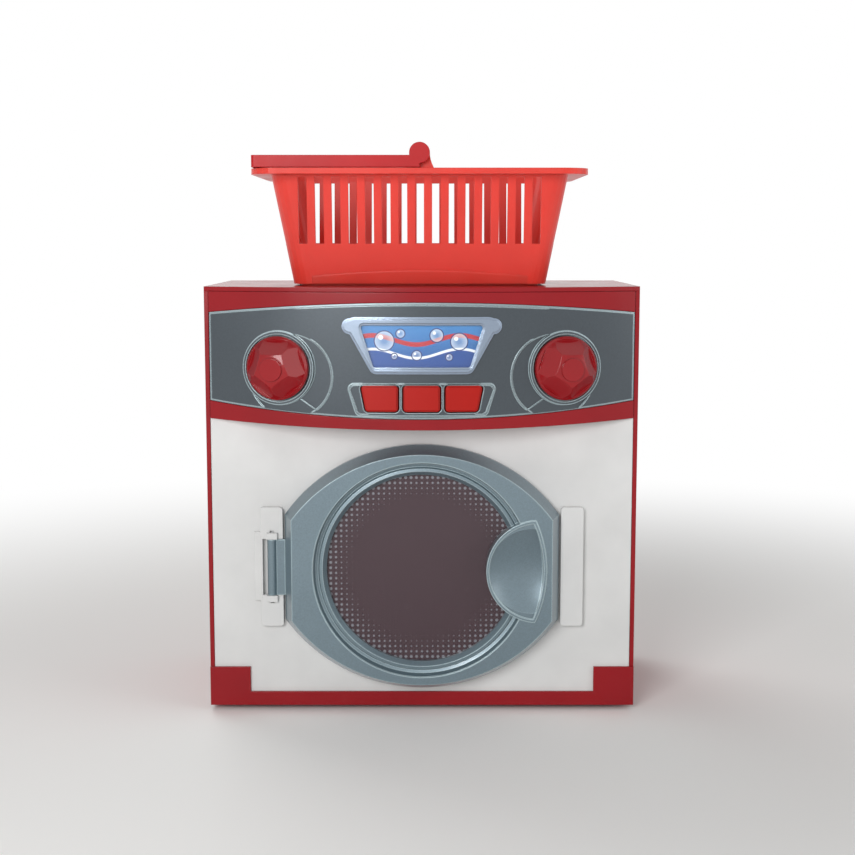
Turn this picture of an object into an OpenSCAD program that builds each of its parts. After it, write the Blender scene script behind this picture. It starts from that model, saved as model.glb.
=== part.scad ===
// Toy washing machine with a laundry basket.
// Front faces -Y, left and right are -X and +X, the floor is z = 0.
// Lengths are millimetres and angles are degrees.

/* [Cabinet] */
// Width of the cabinet
body_w = 200; // [196:1:220]
// Depth of the cabinet without the bulge of its front
body_d = 98; // [96:1:120]
// Height of the cabinet's top above the floor
body_h = 200; // [196:1:215]
// Thickness of the cabinet's walls
wall = 2; // [1.6:0.1:2.6]
// Radius of the bulged upper front, seen from above
bulge_r = 280; // [260:5:400]
// Thickness of the rear cover
cover_t = 2; // [1.6:0.1:3]
// Width of the ledges that the front and rear panels close on
ledge_w = 4; // [3:0.5:6]
// Radius of the screw bosses in the rear corners
boss_r = 4; // [3.4:0.1:5]
// Clearance between fixed parts that fit into each other
fit_gap = 0.15; // [0.1:0.05:0.3]

/* [Base] */
// Height of the feet
foot_h = 2.5; // [2:0.5:4]
// Radius of the feet
foot_r = 7; // [5:0.5:9]
// Height of the plinth's top edge above the floor
plinth_top = 9; // [8:0.5:10]
// Distance that the plinth stands out of the front panel
plinth_proud = 1.2; // [0.8:0.1:2]
// Width of the corner brackets
bracket_w = 19; // [14:1:24]
// Height of the corner brackets above the floor
bracket_top = 21; // [16:0.5:26]

/* [Front panel] */
// Thickness of the front panel
front_t = 2; // [1.6:0.1:2.4]
// Height of the part of the front panel that is hidden behind the fascia
front_lap = 9.4; // [8:0.2:10]
// Distance from the window's edge out to the edge of the loading port
port_step = 2.3; // [2:0.1:2.6]
// Height of the raised pads beside the door
pad_t = 3; // [2:0.1:3.2]
// Length of the raised pads beside the door
pad_h = 56.5; // [50:0.5:60]
// Width of the raised pads beside the door
pad_w = 10.5; // [9:0.5:12]

/* [Fascia] */
// Height of the red band above the control panel, at the middle
band_top = 6.6; // [5:0.2:8]
// Height of the control panel at the middle
panel_h = 52.8; // [52:0.2:54]
// Height of the red band under the control panel, at the middle
band_low = 4.8; // [4:0.2:5.4]
// Radius of the control panel's arched top edge
panel_top_r = 960; // [800:20:1400]
// Radius of the control panel's sagging bottom edge
panel_low_r = 690; // [640:10:900]
// Radius of the fascia's bottom edge
band_low_r = 1350; // [1100:50:2000]
// Depth of the seat for the control panel
seat_d = 2.6; // [2.4:0.1:3]
// Width of the ledge behind the control panel's edge
seat_w = 2; // [1.6:0.1:2.2]

/* [Control panel] */
// Distance that the panel's edge and its dishes lie behind the fascia's face
panel_sink = 0.6; // [0.4:0.1:0.8]
// Distance that the panel's raised face stands out of the fascia's face
panel_rise = 0.6; // [0.4:0.1:0.9]
// Width of the sunk edge round the panel's raised face
face_step = 0.6; // [0.4:0.1:1]
// Distance that the button surround stands out of the fascia's face
surround_rise = 1.6; // [1.2:0.1:1.8]
// Distance from the panel's middle to a knob, measured across
knob_x = 65; // [63:0.5:67]
// Height of the knobs above the panel's bottom edge
knob_up = 22.9; // [22:0.1:24]
// Radius of the round dish in the panel beside each knob
dish_r = 19; // [18:0.5:20]
// Distance that the collar round each knob stands out of the fascia's face
collar_rise = 1.2; // [1:0.1:1.4]
// Radius of the collar round each knob
collar_r = 16.8; // [16.2:0.1:17.4]

/* [Knobs] */
// Radius of a knob
knob_r = 14.5; // [13.5:0.1:14.8]
// Height of a knob above its collar
knob_h = 12; // [10:0.5:14]
// Number of bevelled facets on a knob
knob_facets = 5; // [5:1:8]
// Radius of the button in the middle of a knob
knob_cap_r = 5.8; // [5:0.2:7]
// Radius of a knob's stem
stem_r = 3; // [2.6:0.1:3.4]
// Radial clearance of a turning or sliding fit
run_gap = 0.08; // [0.06:0.01:0.1]

/* [Buttons] */
// Distance between the middles of two buttons
button_pitch = 18.9; // [18.4:0.1:19.2]
// Width of a button
button_w = 16.4; // [15.6:0.1:16.8]
// Height of a button
button_h = 11.6; // [10.8:0.1:12]
// Distance that a button stands out of its surround
button_proud = 1.8; // [1.6:0.1:2.4]
// Travel of a button
button_travel = 1.5; // [1:0.1:1.6]
// Width of the step round a button's top
button_edge = 0.6; // [0.4:0.1:0.9]
// Clearance round a button
button_gap = 0.7; // [0.6:0.05:0.75]
// Distance that a button's flange reaches behind the panel
button_catch = 0.35; // [0.3:0.05:0.4]

/* [Display] */
// Width of the display's frame at its top
display_w = 68; // [66:0.5:70]
// Width of the display's frame at its bottom
display_low_w = 48; // [47:0.5:50]
// Height of the display's frame
display_h = 25.8; // [25.2:0.1:26.2]
// Width of the label's window at its top
label_w = 54.4; // [52:0.2:55]
// Width of the label's window at its bottom
label_low_w = 44; // [42:0.2:44.6]
// Height of the label's window
label_h = 18.8; // [18:0.2:19.4]
// Distance that the display's frame stands out of the panel
display_proud = 1.8; // [1.5:0.1:2.2]
// Width of the step along the edges of the display's frame
bezel_edge = 0.9; // [0.6:0.1:1.1]
// Radius of the rounded ears of the display's frame
ear_r = 3.6; // [3:0.1:4]

/* [Door] */
// Height of the door's lower edge above the plinth
door_rise = 2.7; // [2.4:0.1:3.4]
// Clearance between the door's upper edge and the fascia
door_clear = 8.5; // [7.5:0.1:9]
// Width of the door frame above and below the bezel
door_rim = 7.4; // [7:0.1:7.8]
// Width of the door frame at each side of the bezel
door_side = 13.4; // [12.8:0.1:13.6]
// Length of the door's upright flats
door_flat = 49.8; // [48:0.2:54]
// Thickness of the door
door_t = 11.6; // [11.4:0.1:12.4]
// Width of the sloping edge round the door
door_slope = 3.6; // [3:0.1:4.2]
// Wall thickness of the door's shell
door_wall = 2.2; // [1.8:0.1:2.4]
// Gap between the closed door and the front panel
door_gap = 0.4; // [0.3:0.05:0.6]
// Width of the stepped bezel round the window
ring_w = 6.2; // [5.9:0.1:6.6]
// Thickness of the window
window_t = 1.6; // [1.4:0.1:1.8]
// Angle that the door opens to
door_open = 110; // [90:5:115]

/* [Door grip] */
// Distance of the grip's centre outside the bezel
grip_out = 3.3; // [2.8:0.1:4]
// Radius of the grip's curved left edge
grip_r = 24; // [23:0.5:25]
// Distance that the grip reaches over the frame beside the bezel
grip_over = 7.2; // [6.8:0.1:7.6]
// Depth of the finger scoop
scoop_d = 5.6; // [5:0.2:6]
// Radius of the ball that shapes the scoop
scoop_r = 38; // [34:0.5:42]
// Height of the rim along the grip's edge
grip_rim = 0.8; // [0.6:0.1:1]

/* [Hinge and latch] */
// Distance from the door's edge to the hinge's axis
hinge_out = 6.1; // [5.9:0.1:6.5]
// Length of the hinge's knuckle
knuckle_h = 26.4; // [24:0.2:27]
// Radius of the hinge's knuckle
knuckle_r = 2.2; // [2:0.1:2.4]
// Radius of the hinge's pin
pin_r = 1; // [0.9:0.05:1.1]
// Height of the lugs that hold the pin
lug_h = 3; // [2.6:0.1:3.6]
// Distance from the door's edge in to the latch
latch_in = 7.2; // [6.9:0.1:7.5]
// Height of the latch hook
latch_h = 9; // [7:0.5:10]
// Distance that the latch hook reaches behind the door
latch_reach = 9; // [8:0.2:10]

/* [Drum] */
// Distance of the drum's front edge behind the front panel's face
drum_in = 5.4; // [5.2:0.1:6]
// Gap between the drum and the tub's wall
drum_gap = 2.7; // [2.4:0.1:3.4]
// Gap between the drum and the tub's floor
floor_gap = 2; // [1.5:0.1:2.5]
// Wall thickness of the drum
drum_t = 1.4; // [1.2:0.1:1.6]
// Width of the drum's rolled lip
lip_w = 3.5; // [3:0.1:4]
// Radius of the drum's drain holes
hole_r = 1.6; // [1.2:0.1:1.8]
// Distance between the rows of drain holes
hole_pitch = 8.4; // [7:0.2:9]
// Height of the drum's paddles
paddle_h = 6; // [5:0.5:7]
// Distance from the loading port's edge out to the tub's wall
tub_step = 0.7; // [0.5:0.1:1]
// Wall thickness of the tub
tub_t = 1.8; // [1.6:0.1:2.2]
// Radius of the drum's shaft
shaft_r = 2; // [1.8:0.1:2.4]

/* [Gear train] */
// Distance of the gear plate's posts inside the tub's wall
post_in = 5.2; // [5:0.1:5.6]
// Radius of the gear plate's posts
post_r = 3; // [2.6:0.1:3.2]
// Clearance between the gear plate's posts and the drum's gear
post_clear = 8; // [7.5:0.1:9.4]
// Clearance in front of and behind the drum's gear
gear_gap = 5; // [4.8:0.1:5.4]
// Teeth of the drum's gear
drum_teeth = 60; // [60]
// Teeth of the small wheel on the compound gear
small_teeth = 12; // [12]
// Teeth of the large wheel on the compound gear
large_teeth = 40; // [40]
// Teeth of the motor's pinion
pinion_teeth = 10; // [10]
// Face width of the gears
gear_t = 4; // [3:0.2:4.2]
// Play between two meshed teeth
backlash = 0.25; // [0.2:0.05:0.35]
// Radius of the idler's axle
axle_r = 1.5; // [1.3:0.1:1.7]
// Radius of the motor
motor_r = 10; // [9.6:0.1:10.2]
// Length of the motor
motor_l = 24.5; // [23:0.5:25]
// Room behind the motor
motor_gap = 3.5; // [3:0.1:5]
// Thickness of the gear plate
plate_t = 2; // [1.6:0.1:2.4]

/* [Batteries] */
// Radius of a battery
cell_r = 7.1; // [7:0.05:7.2]
// Length of a battery
cell_l = 50; // [49.5:0.1:50.5]
// Number of batteries
cell_count = 3; // [3]
// Distance from the cabinet's roof down to the battery compartment
battery_drop = 8.45; // [8:0.05:12]
// Distance that the battery cover is drawn off
cover_travel = 24; // [20:1:30]

/* [Electronics] */
// Width of the circuit board
board_w = 84; // [82:1:86]
// Height of the circuit board
board_h = 42; // [41:0.5:43]
// Thickness of the circuit board
board_t = 1.6; // [1.4:0.1:1.8]
// Radius of the speaker
speaker_r = 18; // [16:0.5:20]
// Clearance between the speaker's seat and the cabinet's side
speaker_gap = 5.85; // [5:0.05:10]
// Height of the speaker above the floor
speaker_z = 48; // [44:1:60]

/* [Basket] */
// Width of the basket's body under its rim
basket_w = 136.8; // [132:0.2:140]
// Depth of the basket's body under its rim
basket_d = 88; // [84:1:90]
// Width of the basket at its bottom
basket_low_w = 117.6; // [114:0.2:120]
// Depth of the basket at its bottom
basket_low_d = 74; // [70:1:76]
// Height of the basket from its foot to its rim
basket_h = 53.4; // [50:0.2:58]
// Width of the rim
rim_w = 8.6; // [8:0.1:9]
// Thickness of the rim
rim_t = 2.7; // [2.4:0.1:3]
// Wall thickness of the basket
basket_t = 1.8; // [1.5:0.1:2]
// Distance between two slots
slot_pitch = 7.66; // [7.4:0.02:7.9]
// Width of a slot
slot_w = 3.9; // [3.5:0.1:3.9]
// Height of the plain band under the slots
plain_h = 19.4; // [17:0.2:22]
// Height that the basket can be lifted
lift = 70; // [60:5:100]

/* [Basket handle] */
// Width of the handle's bar
bail_w = 5.4; // [5:0.1:5.8]
// Thickness of the handle's bar
bail_t = 3.6; // [3.2:0.1:4]
// Radius of the handle's eyes
eye_r = 4.7; // [4.4:0.1:5]
// Distance that the ears under the eyes widen towards the rim
ear_flare = 3.4; // [2:0.1:5]
// Height of the handle's pivots above the rim
pivot_up = 6.8; // [6.2:0.1:7]
// Radius of the handle's pivot studs
stud_r = 2; // [1.8:0.1:2.2]

/* [Screws] */
// Radius of a screw's shank
screw_r = 1.3; // [1.2:0.05:1.4]
// Radius of a screw's head
head_r = 2.6; // [2.4:0.1:2.8]
// Height of a screw's head
head_h = 1.6; // [1.4:0.1:1.8]

/* [Hidden] */

$fn = 64;
far = 400;                                // longer than any cut
eps = 0.05;                               // seat gap between curved faces of one body
corner_steps = 6;                         // chords in a rounded corner

half_w = body_w / 2;
knob_angle = asin(knob_x / bulge_r);
knob_tip_r = knob_cap_r - 0.6;            // radius of a knob's foremost face
// Reach of the knobs in front of the front panel
nose = (bulge_r + knob_h) * cos(knob_angle) + knob_tip_r * sin(knob_angle)
    - sqrt(bulge_r * bulge_r - half_w * half_w);
// The origin lies midway between the knobs' tips and the head of the battery cover's screw
front_y = (nose - body_d - head_h) / 2;
back_y = front_y + body_d;
mid_y = (front_y + back_y) / 2;
bulge_sag = bulge_r - sqrt(bulge_r * bulge_r - half_w * half_w);
bulge_cy = front_y - bulge_sag + bulge_r;
half_in = half_w - wall - fit_gap;        // half width between the cabinet's walls
roof_z = body_h - wall;
cover_y = back_y - cover_t;               // inner face of the rear cover
speaker_x = half_in - speaker_gap - wall - speaker_r;
panel_back_y = front_y + front_t;         // back face of the front panel

panel_top = body_h - band_top;
panel_low = panel_top - panel_h;
band_z = panel_low - band_low;
lap_z = band_z + front_lap;
knob_z = panel_low + knob_up;

// The door fills the height between the plinth and the fascia, and the drum follows its window
door_h = band_z - door_clear - plinth_top - door_rise;
door_z = plinth_top + door_rise + door_h / 2;    // height of the door's centre and the drum's axis
bezel_r = door_h / 2 - door_rim;
door_w = 2 * (bezel_r + door_side);
window_r = bezel_r - ring_w;
port_r = window_r + port_step;
tub_r = port_r + tub_step;                // inner radius of the tub
drum_r = tub_r - drum_gap;
mouth_r = drum_r - lip_w;

// ---- helpers ----

// A flat shape drawn across and up, made solid from depth y0 to y1
module y_slab(y0, y1) {
    translate([0, y1, 0]) rotate([90, 0, 0]) linear_extrude(y1 - y0) children();
}

// A round bar along the depth
module y_bar(r, y0, y1, x = 0, z = 0) {
    translate([x, y1, z]) rotate([90, 0, 0]) cylinder(r = r, h = y1 - y0);
}

// A ring along the depth
module y_ring(r, bore, y0, y1, x = 0, z = 0) {
    difference() {
        y_bar(r, y0, y1, x, z);
        y_bar(bore, y0 - 1, y1 + 1, x, z);
    }
}

// A block between two corners
module block(low, high) {
    translate(low) cube(high - low);
}

// Points of an outline with arcs of radius r round its corner centres, listed anticlockwise
function rounded_points(centres, r) = [
    for (i = [0 : len(centres) - 1])
        let (n = len(centres), c = centres[i],
             inward = c - centres[(i + n - 1) % n], outward = centres[(i + 1) % n] - c,
             a0 = atan2(inward[1], inward[0]) - 90, a1 = atan2(outward[1], outward[0]) - 90,
             turn = (a1 - a0 + 720) % 360)
        for (k = [0 : corner_steps]) let (a = a0 + turn * k / corner_steps) c + r * [cos(a), sin(a)]];

// A flat quadrilateral with rounded corners: top and bottom width, low and high edge
module trapezoid(top, low, z0, z1, r, grow = 0) {
    polygon(rounded_points([
        [low / 2 - r, z0 + r], [top / 2 - r, z1 - r], [r - top / 2, z1 - r], [r - low / 2, z0 + r]], r + grow));
}

// A flat rectangle with rounded corners round the origin
module rounded(w, h, r) {
    trapezoid(w, w, -h / 2, h / 2, r);
}

// A flat shape wrapped on the bulged front, from depth d0 to d1 behind its face
module bulge_slab(d0, d1) {
    intersection() {
        y_slab(front_y - bulge_sag - 10, front_y + 12) children();
        translate([0, bulge_cy, 0]) difference() {
            cylinder(r = bulge_r - d0, h = far, $fn = 360);
            translate([0, 0, -1]) cylinder(r = bulge_r - d1, h = far + 2, $fn = 360);
        }
    }
}

// Depth of the bulged front at x, d behind its face
function bulge_y(x, d = 0) = bulge_cy - sqrt((bulge_r - d) * (bulge_r - d) - x * x);

// Children drawn at a knob's seat, with +Z out of the bulged front
module at_knob(side) {
    translate([0, bulge_cy, knob_z]) rotate([0, 0, side * knob_angle])
        translate([0, -bulge_r, 0]) rotate([90, 0, 0]) children();
}

// ---- housing ----

module front_plan(reach) {
    intersection() {
        translate([0, bulge_cy]) circle(r = bulge_r, $fn = 360);
        translate([-half_w, front_y - bulge_sag - 1]) square([body_w, bulge_sag + 1 + reach]);
    }
}

boss_x = half_w - wall - boss_r;
boss_z = [foot_h + wall + boss_r + 1, roof_z - boss_r];
boss_len = 18;
foot_x = half_w - 16;
foot_y = [front_y + 14, back_y - 14];

module cabinet() {
    color("firebrick") {
        translate([0, 0, roof_z]) linear_extrude(wall) front_plan(body_d - cover_t);
        for (side = [-1, 1]) {
            block([side > 0 ? half_w - wall : -half_w, front_y, foot_h],
                  [side > 0 ? half_w : wall - half_w, cover_y, roof_z]);
            // Ledge behind the front panel's edge
            block([side > 0 ? half_w - wall - ledge_w : wall - half_w, panel_back_y, foot_h + wall],
                  [side > 0 ? half_w - wall : wall + ledge_w - half_w, panel_back_y + wall, lap_z]);
            for (z = boss_z) difference() {
                union() {
                    y_bar(boss_r, cover_y - boss_len, cover_y, side * boss_x, z);
                    block([side > 0 ? boss_x : wall - half_w, cover_y - boss_len, z - 1],
                          [side > 0 ? half_w - wall : -boss_x, cover_y, z + 1]);
                }
                y_bar(screw_r, cover_y - boss_len + 4, cover_y + 1, side * boss_x, z);
            }
        }
    }
}

module base() {
    color("firebrick") difference() {
        union() {
            block([-half_in, panel_back_y, foot_h], [half_in, cover_y - fit_gap, foot_h + wall]);
            block([-half_w, front_y - plinth_proud, foot_h], [half_w, front_y, plinth_top]);
            block([-half_in, front_y, foot_h], [half_in, panel_back_y, foot_h + wall - fit_gap]);
            for (side = [-1, 1])
                block([side > 0 ? half_w - bracket_w : -half_w, front_y - plinth_proud, foot_h],
                      [side > 0 ? half_w : bracket_w - half_w, front_y, bracket_top]);
            // Bosses that the feet plug into
            for (x = [-foot_x, foot_x], y = foot_y)
                translate([x, y, foot_h]) cylinder(r = foot_r / 2, h = 5);
            // Ribs across the floor
            for (x = [-foot_x / 2, 0, foot_x / 2])
                block([x - 0.8, panel_back_y + 3, foot_h + wall], [x + 0.8, cover_y - 4, foot_h + wall + 2.5]);
        }
        for (x = [-foot_x, foot_x], y = foot_y)
            translate([x, y, foot_h - 1]) cylinder(r = foot_r / 4, h = 4.6);
    }
}

module feet() {
    color("dimgray") for (x = [-foot_x, foot_x], y = foot_y) translate([x, y, 0]) {
        rotate_extrude() polygon([[0, 0], [foot_r - 0.8, 0], [foot_r, 0.8], [foot_r, foot_h], [0, foot_h]]);
        translate([0, 0, foot_h]) cylinder(r = foot_r / 4 - eps, h = 3);
    }
}

boss_strip = 8.5;                         // room over the batteries for the cover's screw
battery_w = cell_l + 8;
battery_h = cell_count * 2 * cell_r + 4 + boss_strip;
battery_z = roof_z - battery_drop - battery_h / 2;
grille_slots = 7;
grille_pitch = 4.4;

module rear_cover() {
    color("firebrick") difference() {
        union() {
            block([-half_w, cover_y, foot_h], [half_w, back_y, body_h]);
            // Rim that locates the cover inside the cabinet
            difference() {
                block([-half_in, cover_y - ledge_w, foot_h + wall + fit_gap],
                      [half_in, cover_y + cover_t / 4, roof_z - fit_gap]);
                block([wall - half_in, cover_y - far, foot_h + 2 * wall + fit_gap],
                      [half_in - wall, far, roof_z - wall - fit_gap]);
                for (side = [-1, 1], z = boss_z)
                    block([side > 0 ? boss_x - boss_r - 1 : -half_w, cover_y - far, z - boss_r - 1],
                          [side > 0 ? half_w : boss_r + 1 - boss_x, cover_y, z + boss_r + 1]);
            }
            // Ring that holds the speaker
            y_bar(speaker_r + wall, cover_y - 5, cover_y, speaker_x, speaker_z);
        }
        y_bar(speaker_r + fit_gap, cover_y - far, cover_y, speaker_x, speaker_z);
        for (i = [0 : grille_slots - 1]) {
            up = (i - (grille_slots - 1) / 2) * grille_pitch;
            reach = sqrt((speaker_r - 3) * (speaker_r - 3) - up * up);
            translate([speaker_x, 0, speaker_z + up])
                y_slab(cover_y - 1, back_y + 1) rounded(2 * reach, 2, 0.9);
        }
        translate([0, 0, battery_z]) y_slab(cover_y - 1, back_y + 1) rounded(battery_w, battery_h, 2);
        for (side = [-1, 1], z = boss_z) {
            y_bar(screw_r + 0.2, cover_y - 1, back_y + 1, side * boss_x, z);
            y_bar(head_r + 0.3, back_y - 1, back_y + 1, side * boss_x, z);
        }
    }
}

// A pan-head screw along the depth, its head at y, driven towards -Y
module screw(x, z, y, length) {
    difference() {
        union() {
            y_bar(head_r, y, y + head_h, x, z);
            y_bar(screw_r - eps, y - length, y, x, z);
        }
        // Cross recess
        for (turn = [0, 90]) translate([x, y + head_h, z]) rotate([0, turn, 0])
            cube([head_r * 1.2, head_h, 0.6], center = true);
    }
}

module rear_screws() {
    color("silver") for (side = [-1, 1], z = boss_z)
        screw(side * boss_x, z, back_y - 1, 12);
}

module front_panel() {
    lug_z = (knuckle_h + lug_h) / 2 + fit_gap;
    color("whitesmoke") difference() {
        union() {
            block([-half_in, front_y, foot_h + wall], [half_in, panel_back_y, lap_z - fit_gap]);
            for (side = [-1, 1])
                translate([side * (door_w / 2 + 1 + pad_w / 2), 0, door_z])
                    y_slab(front_y - pad_t, front_y) rounded(pad_w, pad_h, 1.6);
            // Lugs that hold the hinge pin
            for (up = [-lug_z, lug_z])
                block([-hinge_x - knuckle_r - 0.4, hinge_y - knuckle_r, door_z + up - lug_h / 2],
                      [-hinge_x + knuckle_r + 0.4, front_y, door_z + up + lug_h / 2]);
            // Raised border of the hinge pocket
            block([-door_w / 2 - 1 - pad_w - 3, front_y - pad_t / 2, door_z - lug_z - lug_h / 2],
                  [-door_w / 2 - pad_w, front_y, door_z + lug_z + lug_h / 2]);
        }
        y_bar(port_r, front_y - far, far, 0, door_z);
        // Pocket that the hinge knuckle turns in
        block([-door_w / 2 - pad_w, -far, door_z - knuckle_h / 2 - fit_gap],
              [-door_w / 2 + 2, front_y, door_z + knuckle_h / 2 + fit_gap]);
        translate([-hinge_x, hinge_y, door_z - knuckle_h / 2 - lug_h - 1])
            cylinder(r = pin_r + 0.02, h = knuckle_h + 2 * lug_h + 2);
        // Slot for the latch hook
        block([latch_x - 2.4, front_y - 1, door_z - latch_h / 2 - 1], [latch_x + 3, far, door_z + latch_h / 2 + 1]);
    }
}

hinge_y = front_y - door_gap - knuckle_r;
hinge_x = door_w / 2 + hinge_out;
latch_x = door_w / 2 - latch_in;

module hinge_pin() {
    color("silver") translate([-hinge_x, hinge_y, door_z - knuckle_h / 2 - lug_h])
        cylinder(r = pin_r, h = knuckle_h + 2 * lug_h);
}

module latch_catch() {
    color("gainsboro") difference() {
        block([latch_x - 4, panel_back_y, door_z - latch_h / 2 - 4],
              [latch_x + 8, panel_back_y + 7, door_z + latch_h / 2 + 4]);
        block([latch_x - 3, panel_back_y - 1, door_z - latch_h / 2 - 1.5],
              [latch_x + 4.2, far, door_z + latch_h / 2 + 1.5]);
    }
}

// ---- fascia and control panel ----

module panel_outline(inset = 0) {
    intersection() {
        translate([inset - half_in, panel_low - 2]) square([2 * (half_in - inset), panel_h + 4]);
        translate([0, panel_top - panel_top_r]) circle(r = panel_top_r - inset, $fn = 720);
        translate([0, panel_low + panel_low_r]) circle(r = panel_low_r - inset, $fn = 720);
    }
}

module fascia_outline(inset = 0) {
    intersection() {
        translate([inset - half_in, band_z - 1]) square([2 * (half_in - inset), roof_z - band_z + 1 - fit_gap - inset]);
        translate([0, band_z + band_low_r]) circle(r = band_low_r - inset, $fn = 720);
    }
}

module fascia_block(inset) {
    reach = ledge_w + 1;
    intersection() {
        linear_extrude(far) intersection() {
            translate([0, bulge_cy]) circle(r = bulge_r - inset, $fn = 360);
            translate([inset - half_in, front_y - bulge_sag - 1])
                square([2 * (half_in - inset), bulge_sag + 1 + reach + (inset > 0 ? 10 : 0)]);
        }
        y_slab(-far, far) fascia_outline(inset > 0 ? wall : 0);
    }
}

module fascia() {
    color("firebrick") difference() {
        fascia_block(0);
        fascia_block(seat_d + wall);
        bulge_slab(-5, seat_d) panel_outline();
        bulge_slab(-5, seat_d + 3 * wall) panel_outline(seat_w);
        // The lower part ends in front of the white panel
        block([-far, front_y - fit_gap, 0], [far, far, lap_z]);
    }
}

module dish_outline(side) {
    translate([side * (knob_x - 5.3), knob_z - 3.7]) circle(r = dish_r, $fn = 96);
}

module button_outline(side, grow = 0) {
    r = 1.5;
    x = side * button_pitch;
    reach = button_w / 2 - r;
    lean = [side < 0 ? button_slant : 0, side > 0 ? button_slant : 0];
    polygon(rounded_points([
        [x + reach - lean[1], button_z0 + r], [x + reach, button_z0 + button_h - r],
        [x - reach, button_z0 + button_h - r], [x - reach + lean[0], button_z0 + r]], r + grow));
}

button_slant = 1.7;                       // lean of an outer button's outer edge
button_z0 = panel_low + 4;                // bottom edge of the buttons
button_z = button_z0 + button_h / 2;
surround_top = 2 * button_pitch + button_w + 2 * 6;
surround_low = surround_top - 6;
display_z0 = panel_low + 20.6;
display_z1 = display_z0 + display_h;
label_z0 = display_z0 + 3.2;
label_z1 = label_z0 + label_h;
post_x = board_w / 2 - 4;
post_z = [display_z0 - 12, display_z0 + 22];
board_y = front_y - 1.5 - board_t;        // front face of the circuit board

module control_panel() {
    color("slategray") difference() {
        union() {
            bulge_slab(panel_sink, seat_d) panel_outline(fit_gap);
            // Raised face, with a crescent-shaped dish left beside each knob
            bulge_slab(-panel_rise, seat_d) difference() {
                panel_outline(fit_gap + face_step);
                for (side = [-1, 1]) dish_outline(side);
            }
            bulge_slab(-surround_rise, seat_d)
                trapezoid(surround_top, surround_low, panel_low + 1.9, panel_low + 16.4, 2.4);
            for (side = [-1, 1]) at_knob(side) {
                translate([0, 0, -seat_d]) cylinder(r = collar_r, h = seat_d + collar_rise);
                translate([0, 0, -seat_d - 3.4]) cylinder(r = stem_r + wall, h = 4);
            }
            for (side = [-1, 1], z = post_z)
                y_bar(2.6, bulge_y(0, seat_d) + 0.6, board_y, side * post_x, z);
        }
        for (side = [-1 : 1]) bulge_slab(-5, 12) button_outline(side, button_gap);
        bulge_slab(-5, -0.2 + 0.4) trapezoid(label_w, label_low_w, label_z0, label_z1, 1.2, 1);
        bulge_slab(-5, 12) trapezoid(label_w, label_low_w, label_z0, label_z1, 1.2, -1.2);
        for (side = [-1, 1]) at_knob(side) {
            translate([0, 0, -20]) cylinder(r = stem_r + run_gap, h = 40);
            translate([0, 0, -0.6]) cylinder(r = knob_r + 0.8, h = 10);
        }
        for (side = [-1, 1], z = post_z) y_bar(screw_r, board_y - 6, board_y + 1, side * post_x, z);
        // Nothing of the posts shows through the face
        bulge_slab(-far, -surround_rise) square([2 * far, 2 * far], center = true);
    }
}

// Outline of the display's frame, with a rounded ear at each top corner
module bezel_outline(inset = 0) {
    trapezoid(display_w, display_low_w, display_z0, display_z1, 4, -inset);
    for (side = [-1, 1])
        translate([side * (display_w / 2 - 1.6), display_z1 - 4.2]) circle(r = ear_r - inset);
}

module display_bezel() {
    step = panel_rise + display_proud / 2;
    color("silver") difference() {
        union() {
            bulge_slab(-step, -panel_rise - eps) bezel_outline();
            bulge_slab(-panel_rise - display_proud, -step + 0.1) bezel_outline(bezel_edge);
        }
        bulge_slab(-9, 9) trapezoid(label_w, label_low_w, label_z0, label_z1, 1.2);
        bulge_slab(-9, -step) trapezoid(label_w, label_low_w, label_z0, label_z1, 1.2, bezel_edge);
    }
}

module display_label() {
    color("deepskyblue") bulge_slab(-0.15, 0.15) trapezoid(label_w, label_low_w, label_z0, label_z1, 1.2, 0.8);
}

module display_lens() {
    color("lightblue", 0.4)
        bulge_slab(-panel_rise, -0.15 - eps) trapezoid(label_w, label_low_w, label_z0, label_z1, 1.2, 0.8);
}

module knob(side) {
    color("red") at_knob(side) difference() {
        union() {
            rotate_extrude($fn = 96) polygon([
                [0, -0.1], [knob_r, -0.1], [knob_r, 2.6], [knob_r - 0.9, 3.8],
                [knob_r * 0.66, knob_h - 1.6], [knob_cap_r, knob_h - 0.9], [0, knob_h - 0.9]]);
            cylinder(r = knob_tip_r, h = knob_h);
            translate([0, 0, -seat_d - 3.7]) cylinder(r = stem_r, h = seat_d + 6);
            translate([0, 0, -seat_d - 6]) cylinder(r = stem_r - 1, h = 5);
        }
        for (i = [0 : knob_facets - 1])
            rotate([0, 0, 90 + i * 360 / knob_facets]) translate([knob_r * 0.86, 0, 3.4]) rotate([0, -38, 0])
                translate([0, -far / 2, 0]) cube([far, far, far]);
    }
}

module knob_clip(side) {
    color("silver") at_knob(side) translate([0, 0, -seat_d - 4.9]) difference() {
        cylinder(r = stem_r + 1.8, h = 1.1);
        translate([0, 0, -1]) cylinder(r = stem_r - 1 + 0.02, h = 4);
        block([-0.7, 0, -1], [0.7, 20, 4]);
    }
}

module knob_left() { knob(-1); }
module knob_clip_left() { knob_clip(-1); }
module knob_right() { knob(1); }
module knob_clip_right() { knob_clip(1); }

pad_y = board_y - 1.8;                    // top of the rubber domes

module button(side) {
    color("red") {
        bulge_slab(-surround_rise - button_proud + 0.6, seat_d + 0.31) button_outline(side);
        bulge_slab(-surround_rise - button_proud, -surround_rise - button_proud + 0.7) button_outline(side, -button_edge);
        bulge_slab(seat_d + 0.3, seat_d + 1.6) button_outline(side, button_gap + button_catch);
        y_bar(2, bulge_y(side * button_pitch, seat_d + 1), pad_y - button_travel - 0.3,
              side * button_pitch, button_z);
    }
}

module button_left() { button(-1); }
module button_middle() { button(0); }
module button_right() { button(1); }

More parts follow.
